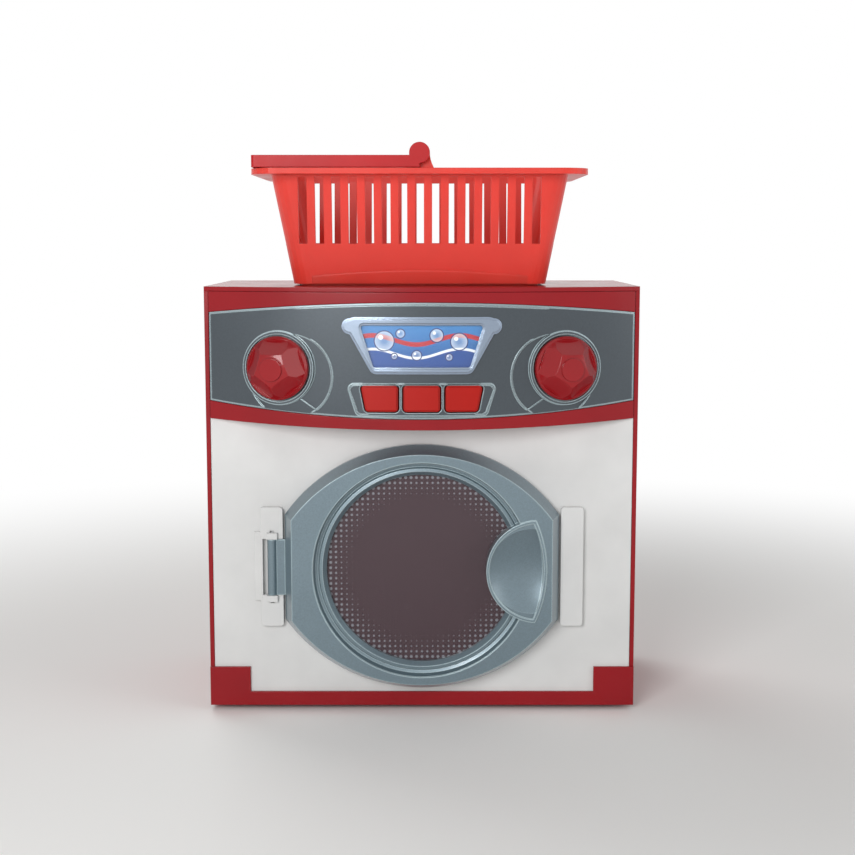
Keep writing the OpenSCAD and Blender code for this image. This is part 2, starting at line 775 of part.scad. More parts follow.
module circuit_board() {
    z0 = post_z[0] - 4;
    color("darkgreen") difference() {
        block([-board_w / 2, board_y, z0], [board_w / 2, board_y + board_t, z0 + board_h]);
        for (side = [-1, 1], z = post_z) y_bar(screw_r + 0.1, -far, far, side * post_x, z);
    }
}

module board_screws() {
    color("silver") for (side = [-1, 1], z = post_z) screw(side * post_x, z, board_y + board_t, 5);
}

module key_pads() {
    color("lightgray") for (side = [-1 : 1]) translate([side * button_pitch, board_y, button_z])
        rotate([90, 0, 0]) rotate_extrude() polygon([[0, 0], [4.4, 0], [4.4, 0.5], [3, 1.8], [0, 1.8]]);
}

module board_parts() {
    z = (display_z0 + display_z1) / 2;
    color("dimgray") {
        for (side = [-1, 1]) {
            y_bar(1.5, board_y - 5, board_y, side * 12, z);
            y_bar(1.9, board_y - 1, board_y, side * 12, z);
        }
        block([-7, board_y + board_t, z - 5], [7, board_y + board_t + 2, z + 5]);
        y_bar(3, board_y + board_t, board_y + board_t + 7, 22, z);
    }
}

module speaker() {
    color("dimgray") translate([speaker_x, cover_y - 0.8, speaker_z]) rotate([90, 0, 0]) rotate_extrude() polygon([
        [0, 0.9], [speaker_r * 0.35, 1.6], [speaker_r * 0.8, 0.6], [speaker_r * 0.86, 0], [speaker_r, 0],
        [speaker_r, 1.6], [speaker_r * 0.6, 6], [speaker_r * 0.6, 10], [0, 10]]);
}

module speaker_grille_cloth() {
    color("black") y_bar(speaker_r, cover_y - 0.8 + 0.1, cover_y, speaker_x, speaker_z);
}

// ---- door ----

door_back = front_y - door_gap;

// Outline of the door, seen from the front
module door_outline(inset = 0) {
    sag = (door_h - door_flat) / 2;
    r = ((door_w / 2) * (door_w / 2) + sag * sag) / (2 * sag);
    translate([0, door_z]) intersection() {
        square([door_w - 2 * inset, door_h], center = true);
        translate([0, door_h / 2 - r]) circle(r = r - inset, $fn = 144);
        translate([0, r - door_h / 2]) circle(r = r - inset, $fn = 144);
    }
}

// The door's outer form, h1 thick and inset all round
module door_form(inset, h1) {
    hull() {
        y_slab(door_back - 3, door_back) door_outline(inset);
        y_slab(door_back - h1, door_back - h1 + 0.4) door_outline(inset + door_slope);
    }
}

// A turned ring on the door's axis; the profile is radius and height above the door's back
module door_turned(profile) {
    translate([0, door_back, door_z]) rotate([90, 0, 0]) rotate_extrude($fn = 144) polygon(profile);
}

window_seat = door_t - 7.6;               // underside of the lip over the window
grip_x = bezel_r + grip_out;
grip_reach = bezel_r + grip_over;

module grip_outline(inset = 0) {
    intersection() {
        translate([grip_x, door_z - 0.2]) circle(r = grip_r - inset, $fn = 96);
        translate([0, door_z]) circle(r = grip_reach - inset, $fn = 144);
    }
}

module door_frame() {
    color("slategray") difference() {
        union() {
            difference() {
                door_form(0, door_t);
                difference() {
                    translate([0, 0.01, 0]) door_form(door_wall, door_t - door_wall);
                    y_bar(bezel_r + door_wall, -far, far, 0, door_z);
                }
                y_bar(bezel_r, -far, far, 0, door_z);
            }
            // Stepped bezel round the window
            door_turned([
                [bezel_r + 0.6, 0.6], [bezel_r + 0.6, door_t - 0.8], [bezel_r - 0.2, door_t - 0.8],
                [bezel_r - 0.9, door_t - 4.2], [bezel_r - 0.37 * ring_w, door_t - 4.6],
                [bezel_r - 0.48 * ring_w, door_t - 3.4], [bezel_r - 0.7 * ring_w, door_t - 3.2],
                [window_r, door_t - 5.6], [window_r, window_seat],
                [window_r + 2.6, window_seat], [window_r + 2.6, 0.6]]);
            y_slab(door_back - door_t, door_back - window_seat - 0.2) grip_outline();
            y_slab(door_back - door_t - grip_rim, door_back - door_t + 1) grip_outline();
            // Tab and knuckle of the hinge
            block([-hinge_x, door_back - 3, door_z - knuckle_h / 2], [-door_w / 2 + 2, door_back, door_z + knuckle_h / 2]);
            translate([-hinge_x, hinge_y, door_z - knuckle_h / 2]) cylinder(r = knuckle_r, h = knuckle_h);
        }
        // Finger scoop
        intersection() {
            y_slab(-far, door_back - window_seat - 1) grip_outline(1.4);
            translate([grip_x - 3, door_back - door_t + scoop_d - scoop_r, door_z]) sphere(r = scoop_r, $fn = 96);
        }
        y_slab(-far, door_back - door_t) grip_outline(1.4);
        translate([-hinge_x, hinge_y, 0]) cylinder(r = pin_r + run_gap / 2, h = far);
    }
}

module door_window() {
    color("rosybrown", 0.4) y_bar(window_r + 2.4, door_back - window_seat + eps, door_back - window_seat + window_t, 0, door_z);
}

module window_ring() {
    color("slategray")
        y_ring(window_r + 2.4, window_r + 0.2, door_back - window_seat + window_t + eps, door_back, 0, door_z);
}

module latch_hook() {
    color("slategray") {
        block([latch_x - 1, door_back - window_seat - 0.2, door_z - latch_h / 2],
              [latch_x + 0.8, door_back + latch_reach, door_z + latch_h / 2]);
        // Barb
        translate([0, 0, door_z - latch_h / 2]) linear_extrude(latch_h) polygon([
            [latch_x + 0.8, door_back + latch_reach - 4], [latch_x + 1.9, door_back + latch_reach - 2.6],
            [latch_x + 0.8, door_back + latch_reach]]);
    }
}

// ---- drum and tub ----

floor_t = 2;                              // thickness of the tub's floor
drum_y = front_y + drum_in;               // front edge of the drum
plate_y = cover_y - motor_gap - motor_l - plate_t;   // front face of the gear plate
gear_y = plate_y - gear_gap - gear_t;     // front face of the drum's gear
tub_end = gear_y - gear_gap;
tub_back = tub_end - floor_t;             // inner face of the tub's floor
drum_back = tub_back - floor_gap;
drum_d = drum_back - drum_y;              // the drum takes the depth that the drive leaves
small_y = gear_y - 0.4;
large_y = gear_y + gear_t + 0.8;
large_t = 2.8;
plate_posts = [135, 225, 315, 0];
post_reach = tub_r - post_in;
gear_m = (post_reach - post_r - post_clear) / (drum_teeth / 2 + 1);   // module of the gears
gear_reach = gear_m * (drum_teeth + small_teeth) / 2 + 0.1;
idler_angle = 45;
idler_x = gear_reach * cos(idler_angle);
idler_z = door_z + gear_reach * sin(idler_angle);
motor_reach = gear_m * (large_teeth + pinion_teeth) / 2 + 0.1;
motor_angle = 150;
motor_x = idler_x + motor_reach * cos(motor_angle);
motor_z = idler_z + motor_reach * sin(motor_angle);

module tub() {
    color("gainsboro") difference() {
        union() {
            y_ring(tub_r + tub_t, tub_r, panel_back_y, tub_end, 0, door_z);
            y_ring(tub_r + tub_t + 5, tub_r, panel_back_y, panel_back_y + wall, 0, door_z);
            y_bar(tub_r + tub_t / 2, tub_back, tub_end, 0, door_z);
            y_bar(shaft_r + 4.5, tub_back, gear_y - 1, 0, door_z);
            for (a = plate_posts)
                y_bar(post_r, tub_end - 0.5, plate_y, post_reach * cos(a), door_z + post_reach * sin(a));
            y_bar(axle_r + 2, tub_end - 0.5, small_y - 0.6, idler_x, idler_z);
        }
        // Slot that lets the latch hook and its catch pass the flange
        block([latch_x - 4.3, -far, door_z - latch_h / 2 - 4.3], [far, far, door_z + latch_h / 2 + 4.3]);
        y_bar(shaft_r + 1.5, -far, far, 0, door_z);
        y_bar(axle_r + 0.02, tub_end - 1, far, idler_x, idler_z);
        for (a = plate_posts)
            y_bar(screw_r, plate_y - 8, far, post_reach * cos(a), door_z + post_reach * sin(a));
    }
}

module port_seal() {
    color("dimgray") translate([0, front_y, door_z]) rotate([-90, 0, 0]) rotate_extrude($fn = 144) polygon([
        [port_r - eps, 0], [port_r - eps, front_t + eps], [tub_r - eps, front_t + eps],
        [tub_r - eps, front_t + 1.6], [mouth_r + 2.4, front_t + 1.6], [mouth_r + 1.6, front_t],
        [port_r - 2.4, 0.6], [port_r - 1.4, 0]]);
}

module drum() {
    color("silver") difference() {
        union() {
            y_ring(drum_r, drum_r - drum_t, drum_y + 0.8, drum_back, 0, door_z);
            // Rolled lip of the mouth
            translate([0, drum_y + 1.2, door_z]) rotate([-90, 0, 0]) rotate_extrude($fn = 144)
                polygon([[mouth_r, 0.4], [mouth_r + 0.6, -1], [mouth_r + 1.8, -1.2], [drum_r, -0.4],
                         [drum_r, 1], [drum_r - drum_t, 1], [mouth_r + 1.6, 0.2], [mouth_r + 0.9, 0.9]]);
            y_bar(drum_r - drum_t / 2, drum_back - drum_t, drum_back, 0, door_z);
            // Star-shaped rear hub
            y_bar(shaft_r + 5, drum_back - 5, drum_back, 0, door_z);
            for (turn = [0 : 120 : 240]) paddle(turn);
        }
        y_bar(shaft_r + 0.02, drum_back - 3.5, far, 0, door_z);
        for (turn = [0 : 120 : 240], col = [-4 : 4], row = [0 : hole_rows - 1])
            drain_hole(turn + 60 + col * 10, drum_y + 8 + row * hole_pitch);
        for (turn = [0 : 30 : 330])
            y_bar(hole_r, drum_back - 2 * drum_t, far, 0.72 * drum_r * cos(turn + 15), door_z + 0.72 * drum_r * sin(turn + 15));
    }
}

hole_rows = 1 + floor((drum_d - 16) / hole_pitch);

module drain_hole(turn, y) {
    translate([0, y, door_z]) rotate([0, -turn, 0]) translate([drum_r - 2 * drum_t, 0, 0])
        rotate([0, 90, 0]) cylinder(r = hole_r, h = 3 * drum_t, $fn = 24);
}

// A paddle along the drum's wall: a ridge with a rounded crest
module paddle(turn) {
    translate([0, 0, door_z]) rotate([0, -turn, 0]) translate([drum_r - drum_t + 0.2, 0, 0])
        y_slab(drum_y + 4, drum_back - drum_t + 0.2) polygon([
            for (i = [0 : 10]) let (a = -90 + i * 18)
                [-(paddle_h + 0.6) * pow(cos(a), 0.7), 6 * sin(a)]]);
}

module drum_shaft() {
    color("silver") y_bar(shaft_r, drum_back - 3.5, plate_y + plate_t, 0, door_z);
}

module shaft_bushes() {
    color("peru") {
        y_ring(shaft_r + 1.5 - eps, shaft_r + run_gap / 2, tub_back, gear_y - 1, 0, door_z);
        y_ring(shaft_r + 1.5 - eps, shaft_r + run_gap / 2, plate_y, plate_y + plate_t, 0, door_z);
    }
}

// A spur wheel with straight-sided teeth of involute slope, drawn flat
module spur(teeth, turn) {
    r = gear_m * teeth / 2;
    step = 360 / teeth;
    half = 90 / teeth - 57.3 * backlash / 4 / r;
    rotate(turn) polygon([
        for (i = [0 : teeth - 1], p = [[-1.75, -1.22], [-1, 0], [-0.42, 0.95], [0.42, 0.95], [1, 0], [1.75, -1.22]])
            let (a = i * step + p[0] * half, q = r + p[1] * gear_m)
                q * [cos(min(max(a, i * step - step / 2 + 0.01), i * step + step / 2 - 0.01)),
                     sin(min(max(a, i * step - step / 2 + 0.01), i * step + step / 2 - 0.01))]]);
}

module drum_gear() {
    color("ivory") difference() {
        union() {
            translate([0, 0, door_z]) y_slab(gear_y, gear_y + gear_t) difference() {
                spur(drum_teeth, 0);
                for (a = [0 : 60 : 300]) rotate(a + 30) translate([gear_m * drum_teeth * 0.3, 0])
                    circle(r = gear_m * drum_teeth * 0.1);
            }
            y_bar(shaft_r + 3, gear_y - 0.6, plate_y - 0.5, 0, door_z);
        }
        y_bar(shaft_r + 0.02, -far, far, 0, door_z);
    }
}

module compound_gear() {
    color("ivory") difference() {
        union() {
            translate([idler_x, 0, idler_z]) {
                y_slab(small_y, large_y + 0.1) spur(small_teeth, mesh_turn(idler_angle, 0, drum_teeth, small_teeth));
                y_slab(large_y, large_y + large_t) spur(large_teeth, 0);
            }
            y_bar(axle_r + 1.6, large_y, plate_y - 0.4, idler_x, idler_z);
        }
        y_bar(axle_r + run_gap / 2, -far, far, idler_x, idler_z);
    }
}

// Turn of a driven wheel that meshes at angle a with a wheel turned by t1
function mesh_turn(a, t1, n1, n2) = a + 180 + 180 / n2 + (a - t1) * n1 / n2;

module idler_axle() {
    color("silver") y_bar(axle_r, tub_end - 1, plate_y + plate_t, idler_x, idler_z);
}

module motor_pinion() {
    color("goldenrod") {
        translate([motor_x, 0, motor_z])
            y_slab(large_y - 0.6, large_y + large_t + 0.6) spur(pinion_teeth, mesh_turn(motor_angle, 0, large_teeth, pinion_teeth));
        y_bar(1, large_y + large_t, plate_y + plate_t + 4, motor_x, motor_z);
    }
}

module gear_plate() {
    color("gainsboro") difference() {
        union() {
            y_slab(plate_y, plate_y + plate_t) {
                hull() {
                    for (a = plate_posts) translate([post_reach * cos(a), door_z + post_reach * sin(a)]) circle(r = 5);
                    translate([idler_x, idler_z]) circle(r = 6);
                    translate([motor_x, motor_z]) circle(r = motor_r + 2.4);
                }
            }
            // Collar that grips the motor
            y_ring(motor_r + 2, motor_r + eps, plate_y + plate_t, plate_y + plate_t + 7, motor_x, motor_z);
        }
        y_bar(shaft_r + 1.5, -far, far, 0, door_z);
        y_bar(axle_r + 0.02, -far, far, idler_x, idler_z);
        y_bar(3.4, -far, far, motor_x, motor_z);
        for (a = plate_posts)
            y_bar(screw_r + 0.2, -far, far, post_reach * cos(a), door_z + post_reach * sin(a));
    }
}

module gear_screws() {
    color("silver") for (a = plate_posts)
        screw(post_reach * cos(a), door_z + post_reach * sin(a), plate_y + plate_t, 8);
}

module motor() {
    y0 = plate_y + plate_t;
    color("silver") difference() {
        union() {
            intersection() {
                y_bar(motor_r, y0, y0 + motor_l - 5, motor_x, motor_z);
                block([motor_x - far, y0, motor_z - motor_r * 0.76], [motor_x + far, y0 + far, motor_z + motor_r * 0.76]);
            }
            y_bar(motor_r * 0.74, y0 + motor_l - 5, y0 + motor_l - 1.6, motor_x, motor_z);
            y_bar(motor_r * 0.3, y0 + motor_l - 1.6, y0 + motor_l, motor_x, motor_z);
            y_bar(3, y0 - 1, y0, motor_x, motor_z);
            for (side = [-1, 1]) block([motor_x + side * 4 - 1, y0 + motor_l - 1.7, motor_z - 4.2],
                                       [motor_x + side * 4 + 1, y0 + motor_l, motor_z - 3.6]);
        }
        y_bar(1 + run_gap / 2, y0 - 2, y0 + 4.3, motor_x, motor_z);
    }
}

// ---- battery box ----

box_y = cover_y - 2 * cell_r - 3;
rim_more = 3;

module battery_box() {
    color("dimgray") difference() {
        union() {
            translate([0, 0, battery_z]) {
                y_slab(box_y, cover_y) rounded(battery_w, battery_h, 1.5);
                y_slab(cover_y - wall, cover_y) rounded(battery_w + 2 * rim_more, battery_h + 2 * rim_more, 2);
            }
        }
        difference() {
            translate([0, 0, battery_z]) y_slab(box_y + 1.5, far) rounded(battery_w - 3, battery_h - 3, 1);
            y_bar(3.2, -far, cover_y - 1.6, 0, cover_screw_z);
        }
        y_bar(screw_r, cover_y - 10, far, 0, cover_screw_z);
    }
}

cover_screw_z = battery_z + battery_h / 2 - 1.5 - 3.6;

function cell_z(i) = battery_z - boss_strip / 2 + (i - (cell_count - 1) / 2) * (2 * cell_r + 0.3);
function cell_y() = box_y + 1.5 + cell_r + 0.2;

module batteries() {
    color("steelblue") for (i = [0 : cell_count - 1]) {
        end = i % 2 == 0 ? 1 : -1;
        translate([0, cell_y(), cell_z(i)]) rotate([0, end * 90, 0]) translate([0, 0, -cell_l / 2]) {
            cylinder(r = cell_r, h = cell_l - 1);
            cylinder(r = 2.6, h = cell_l);
        }
    }
}

module battery_contacts() {
    color("silver") for (i = [0 : cell_count - 1], side = [-1, 1]) {
        inner = battery_w / 2 - 1.5;
        translate([0, cell_y(), cell_z(i)])
            block([side > 0 ? inner - 0.4 : -inner, -5, -5], [side > 0 ? inner : 0.4 - inner, 5, 5]);
        translate([0, cell_y(), cell_z(i)]) rotate([0, side * 90, 0])
            translate([0, 0, cell_l / 2 + 0.1])
                difference() {
                    cylinder(r1 = 2.4, r2 = 3.8, h = inner - 0.4 - cell_l / 2 - 0.1);
                    translate([0, 0, -1]) cylinder(r = 1.8, h = 9);
                }
    }
}

module battery_cover() {
    color("firebrick") difference() {
        union() {
            translate([0, 0, battery_z]) {
                y_slab(cover_y + 0.02, back_y) rounded(battery_w - 2 * 0.3, battery_h - 2 * 0.3, 1.8);
                // Grip ribs
                for (i = [-2 : 2]) translate([0, 0, -battery_h / 4 + i * 2.4])
                    y_slab(back_y - 0.1, back_y + 0.5) square([16, 0.9], center = true);
                // Locating rim
                difference() {
                    y_slab(cover_y - 1.2, cover_y + 0.1) rounded(battery_w - 3.8, battery_h - 3.8, 1);
                    y_slab(-far, far) rounded(battery_w - 6.2, battery_h - 6.2, 1);
                }
            }
        }
        y_bar(screw_r + 0.15, -far, far, 0, cover_screw_z);
    }
}

module battery_screw() {
    color("silver") screw(0, cover_screw_z, back_y, 9);
}

// ---- basket ----

basket_x = -1;
basket_y = mid_y - 3;
basket_z = body_h;
rim_z = basket_z + basket_h - rim_t;      // underside of the rim
pivot_z = basket_z + basket_h + pivot_up;
ear_y = basket_d / 2 + 1.2;               // inner face of an ear, from the basket's middle

module basket_plan(w, d, r, z, h) {
    translate([basket_x, basket_y, z]) linear_extrude(h) rounded(w, d, r);
}

// The basket's tapered form between two heights, inset from its outer face
module basket_form(inset, z0, z1) {
    hull() for (z = [z0, z1]) let (s = (z - basket_z) / (rim_z - basket_z))
        basket_plan(basket_low_w + (basket_w - basket_low_w) * s - 2 * inset,
                    basket_low_d + (basket_d - basket_low_d) * s - 2 * inset, 9 - inset, z - (z == z1 ? 0.1 : 0), 0.1);
}

// Points of an ear under its eye: it widens in a hollow curve towards the rim
ear_steps = 6;
ear_flank = [for (side = [-1, 1], i = [0 : ear_steps])
    let (t = side < 0 ? i / ear_steps : 1 - i / ear_steps)
        [side * (eye_r + ear_flare * pow(1 - t, 2)), rim_z + 0.5 + (pivot_z - rim_z - 0.5) * t]];

slot_n = floor((basket_low_w / 2 - 4) / slot_pitch);
end_slot_n = floor((basket_low_d / 2 - 6) / slot_pitch);

module basket() {
    z_low = basket_z + plain_h;
    z_high = rim_z - 1;
    color("tomato") difference() {
        union() {
            difference() {
                basket_form(0, basket_z + 0.8, rim_z + 1);
                basket_form(basket_t, basket_z + 0.8 + basket_t, rim_z + 1.1);
            }
            difference() {
                union() {
                    basket_plan(basket_w + 2 * rim_w, basket_d + 2 * rim_w, 12, rim_z, rim_t);
                    // Ears that carry the handle
                    for (side = [-1, 1]) translate([basket_x, basket_y, 0])
                        y_slab(side > 0 ? ear_y : -ear_y - 2.4, side > 0 ? ear_y + 2.4 : -ear_y) {
                            translate([0, pivot_z]) circle(r = eye_r);
                            polygon(ear_flank);
                        }
                }
                basket_plan(basket_w - 2 * basket_t, basket_d - 2 * basket_t, 9 - basket_t, rim_z - 1, rim_t + 20);
            }
            // Foot ring
            difference() {
                basket_plan(basket_low_w - 6, basket_low_d - 6, 7, basket_z, 1.2);
                basket_plan(basket_low_w - 9, basket_low_d - 9, 5.5, basket_z - 1, 1.8);
            }
        }
        // Slots in the long sides
        for (i = [-slot_n : slot_n]) translate([basket_x + i * slot_pitch, 0, 0])
            block([-slot_w / 2, -far, z_low], [slot_w / 2, far, z_high]);
        // Slots in the ends
        for (i = [-end_slot_n : end_slot_n]) translate([0, basket_y + i * slot_pitch, 0])
            block([-far, -slot_w / 2, z_low], [far, slot_w / 2, z_high]);
        translate([basket_x, 0, pivot_z]) rotate([90, 0, 0])
            cylinder(r = stud_r + run_gap, h = far, center = true);
    }
}

// The handle lies folded to the left on the rim
module basket_handle() {
    reach = basket_w / 2 + rim_w - bail_w / 2 - 1;      // from the pivots to the grip bar
    bar_z = basket_z + basket_h + 0.3;
    out = ear_y + 2.4 + 0.3;                            // inner face of an arm
    color("tomato") translate([basket_x, basket_y, 0]) {
        for (side = [-1, 1]) {
            y0 = side > 0 ? out : -out - bail_t;
            y_slab(y0, y0 + bail_t) {
                translate([0, pivot_z]) circle(r = eye_r);
                translate([-reach, bar_z]) square([reach, bail_w]);
            }
            translate([0, side > 0 ? ear_y - 0.6 : -out, pivot_z]) rotate([-90, 0, 0])
                cylinder(r = stud_r, h = out - ear_y + 0.6);
        }
        // Grip bar, rounded at its ends
        translate([-reach, 0, bar_z]) linear_extrude(bail_w)
            rounded(bail_w, 2 * (out + bail_t), 1.6);
    }
}

// ---- drawing ----

cabinet();
base();
feet();
rear_cover();
rear_screws();
front_panel();
fascia();
control_panel();
display_bezel();
display_label();
display_lens();
circuit_board();
board_parts();
key_pads();
board_screws();
speaker();
speaker_grille_cloth();
tub();
port_seal();
shaft_bushes();
gear_plate();
gear_screws();
idler_axle();
motor();
battery_box();
batteries();
battery_contacts();
latch_catch();
hinge_pin();
battery_cover();
battery_screw();
knob_left();
knob_clip_left();
knob_right();
knob_clip_right();
button_left();
button_middle();
button_right();
door_frame();
door_window();
window_ring();
latch_hook();
drum();
drum_shaft();
drum_gear();
compound_gear();
motor_pinion();
basket();
basket_handle();
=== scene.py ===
"""Dresses a toy washing machine with its laundry basket: plastics, prints, light and camera."""

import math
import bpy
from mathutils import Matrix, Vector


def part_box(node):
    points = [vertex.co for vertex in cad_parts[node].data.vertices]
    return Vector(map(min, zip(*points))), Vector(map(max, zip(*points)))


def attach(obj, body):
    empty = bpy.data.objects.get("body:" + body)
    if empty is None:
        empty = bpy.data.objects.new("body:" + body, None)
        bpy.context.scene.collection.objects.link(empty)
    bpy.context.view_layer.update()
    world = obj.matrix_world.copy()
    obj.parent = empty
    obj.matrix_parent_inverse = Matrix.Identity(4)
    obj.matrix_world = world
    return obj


bl_info = {
    "name": "Toy Washing Machine Looks",
    "version": (1, 0, 0),
    "blender": (4, 5, 0),
    "location": "3D View > Sidebar > Toy Washer",
    "description": "Materials, raised lines and prints of a toy washing machine, with a small studio",
    "category": "Object",
}

import bmesh
import bpy
from bpy.props import FloatProperty, FloatVectorProperty, IntProperty, PointerProperty
from bpy.types import Operator, Panel, PropertyGroup
from mathutils import Vector

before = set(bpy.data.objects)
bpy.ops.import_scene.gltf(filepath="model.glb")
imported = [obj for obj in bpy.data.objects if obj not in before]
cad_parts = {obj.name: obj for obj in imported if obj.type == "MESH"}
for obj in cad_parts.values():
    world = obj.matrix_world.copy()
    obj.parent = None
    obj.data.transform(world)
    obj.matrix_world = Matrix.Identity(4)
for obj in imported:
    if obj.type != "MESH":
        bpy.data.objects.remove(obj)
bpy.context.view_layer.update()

MM = 0.001
WHITE = (1, 1, 1, 1)

# The plinth stands this far out of the front panel
PLINTH_STEP = 1.2 * MM
FRONT_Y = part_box("base")[0].y + PLINTH_STEP
# Fascia and control panel bulge as one upright cylinder
BULGE_RADIUS = 280 * MM
BULGE_CENTRE_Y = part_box("fascia")[0].y + BULGE_RADIUS

# The control panel lies between two wide arcs, and its moulding stays a little inside them
PANEL_GAP = 0.15 * MM
PANEL_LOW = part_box("control_panel")[0].z - PANEL_GAP
PANEL_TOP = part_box("control_panel")[1].z + PANEL_GAP
PANEL_TOP_RADIUS = 960 * MM
# How far the panel, the buttons' surround and the floor of a dish lie out of or under the fascia's face
PANEL_RISE = 0.6 * MM
SURROUND_RISE = 1.6 * MM
DISH_DEPTH = 0.6 * MM
# The knobs stand in round dishes, whose middles lie nearer together than the knobs
KNOB_X = 65 * MM
DISH_RADIUS = 19 * MM
DISH_CENTRE = (KNOB_X - 5.3 * MM, PANEL_LOW + 19.2 * MM)

# A raised line's underside lies this far in the panel, and a line ends at this share of its width and height
LINE_SUNK = 0.02 * MM
LINE_END = 0.25
LINE_SIDES = 6
# The bead along the panel's top
TOP_BEAD_RADIUS = PANEL_TOP_RADIUS - 1.4 * MM
TOP_BEAD_HALF = KNOB_X - 7.4 * MM
# The bead round a dish: its gap, where it starts and ends in degrees, and the tick that runs on from its end
DISH_BEAD_GAP = 0.5 * MM
DISH_BEAD_SPAN = (180 - 62, 180 + 52)
TICK_RUN = (8.2 * MM, 5.7 * MM)
# The bead round the buttons: a trapezoid with round corners, a little inside the surround's edge
SURROUND_LOW, SURROUND_HIGH = PANEL_LOW + 1.9 * MM, PANEL_LOW + 16.4 * MM
SURROUND_WIDE, SURROUND_NARROW = 33.1 * MM, 30.1 * MM
SURROUND_INSET = 0.7 * MM
SURROUND_CORNER = 2.4 * MM

# The middle and the reach of the door's window
DOOR_CENTRE_Z = sum(corner.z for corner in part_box("door_window")) / 2
WINDOW_RADIUS = 44.2 * MM

# The basket's walls stand this far off the roof, and lean outwards from the foot to the underside of the rim
BASKET_GAP = 0.9 * MM
BASKET_FOOT = (117.6 * MM, 74 * MM)
BASKET_BROW_DEPTH = 88 * MM
BASKET_RISE = 50.7 * MM
BASKET_CORNER = 9 * MM
# The skirt at the basket's foot runs this far into the wall; its profile gives shares of its height and lip
SKIRT_SUNK = 0.2 * MM
SKIRT_PROFILE = ((0, 0.1), (0.85, 1), (0.95, 0.9), (1, 0.4))
SKIRT_STEPS = 40

# The floor's radius, and the distances from the toy between which it fades to white
FLOOR_RADIUS = 6.0
FLOOR_FADE = (0.22, 0.70)
# The room's light on things, what the lamps point at, and the back lamp's share of the fill lamp's power
ROOM_LIGHT = 0.27
LAMP_AIM = Vector((0, 0, 0.12))
BACK_SHARE = 1.6
# The camera stands a little right of the toy's middle
CAMERA_X = 2.6 * MM


def linear(hex_colour):
    """Linear RGB of an sRGB colour such as '#c81e1e'."""
    channels = [int(hex_colour[i:i + 2], 16) / 255 for i in (1, 3, 5)]
    return tuple(c / 12.92 if c <= 0.04045 else ((c + 0.055) / 1.055) ** 2.4 for c in channels)


def colour_property(name, description, hex_colour):
    """A colour that the user may change, from its sRGB value."""
    return FloatVectorProperty(
        name=name, description=description, subtype="COLOR", size=3, min=0, max=1, default=linear(hex_colour))


def length_property(name, description, millimetres):
    """A length that the user may change, from its value in millimetres."""
    return FloatProperty(
        name=name, description=description, subtype="DISTANCE", unit="LENGTH", min=0,
        default=millimetres * MM)


class ShellSettings(PropertyGroup):
    """Colours and surface of the cabinet, the front and the slate mouldings"""
    red: colour_property("Shell red", "Colour of the moulded red cabinet and fascia", "#91111a")
    # The panel and the door are one metallic grey in two shades: the panel's is darkened as painted shade and
    # the door's lightened as painted light
    slate: colour_property("Panel slate, darkened as painted shade", "Colour of the metallic grey control panel", "#363f46")
    door: colour_property("Door slate, lightened as painted light", "Colour of the metallic grey door", "#6b7d86")
    # The edges are painted this lighter slate as a highlight, in place of the light that rounded edges catch
    edge_highlight_slate: colour_property("Slate edge highlight", "Lighter slate painted on the edges as a highlight", "#a9bcc1")
    white: colour_property("Front white", "Colour of the white front panel", "#d4d4d3")
    grain: length_property("Mould grain", "Distance between the grains of the moulds, drawn coarse", 0.6)
    flake: length_property("Metal flake", "Size of the flakes in the metallic plastic, drawn coarse", 0.5)
    edge: length_property("Edge radius", "Radius of the moulded edges", 0.5)


class ControlSettings(PropertyGroup):
    """Colours and lines of the control panel"""
    knob_red: colour_property("Knob red", "Colour of the glossy knobs", "#940d15")
    button_red: colour_property("Button red", "Colour of the push buttons", "#ac1206")
    silver: colour_property("Display frame", "Colour of the metallised display frame", "#8f9cad")
    line_width: length_property("Line width", "Width of the raised lines on the control panel", 0.9)
    line_height: length_property("Line height", "Height of the raised lines on the control panel", 0.3)


class DisplaySettings(PropertyGroup):
    """Inks of the display's card"""
    sky: colour_property("Sky blue", "Light blue of the display's print", "#3b86c6")
    deep: colour_property("Deep blue", "Dark blue of the display's print", "#0e4793")
    navy: colour_property("Navy", "Outline colour of the display's print", "#12296b")
    accent: colour_property("Accent red", "Red ribbon in the display's print", "#b8202c")


class WindowSettings(PropertyGroup):
    """Tint and halftone of the door's window"""
    smoke: colour_property("Smoke", "Tint of the window", "#67545b")
    dots: colour_property("Dots", "Colour of the halftone printed round the window", "#84858c")
    pitch: length_property("Dot pitch", "Distance between two printed dots", 2.5)
    start: length_property("Dots start", "Distance from the middle at which the dots begin", 32)


class BasketSettings(PropertyGroup):
    """Colours and skirt of the basket"""
    red: colour_property("Basket red", "Colour of the basket", "#dc4035")
    handle: colour_property("Handle red", "Colour of the basket's handle", "#b20d14")
    skirt: length_property("Skirt height", "Height of the skirt at the ends of the long sides", 3.6)
    arch: length_property("Skirt arch", "How much higher the skirt is in the middle of a long side", 3.0)
    lip: length_property("Skirt lip", "How far the skirt's upper edge stands out of the wall", 0.7)


class InsideSettings(PropertyGroup):
    """Colours of what stands inside"""
    tub: colour_property("Tub grey", "Colour of the tub and the gear plate", "#a9adb2")
    drum: colour_property("Drum", "Colour of the turning drum", "#8b8a90")
    gear: colour_property("Gear white", "Colour of the gears", "#e6e0cf")
    cells: colour_property("Battery blue", "Colour of the batteries' wrap", "#2a5a92")


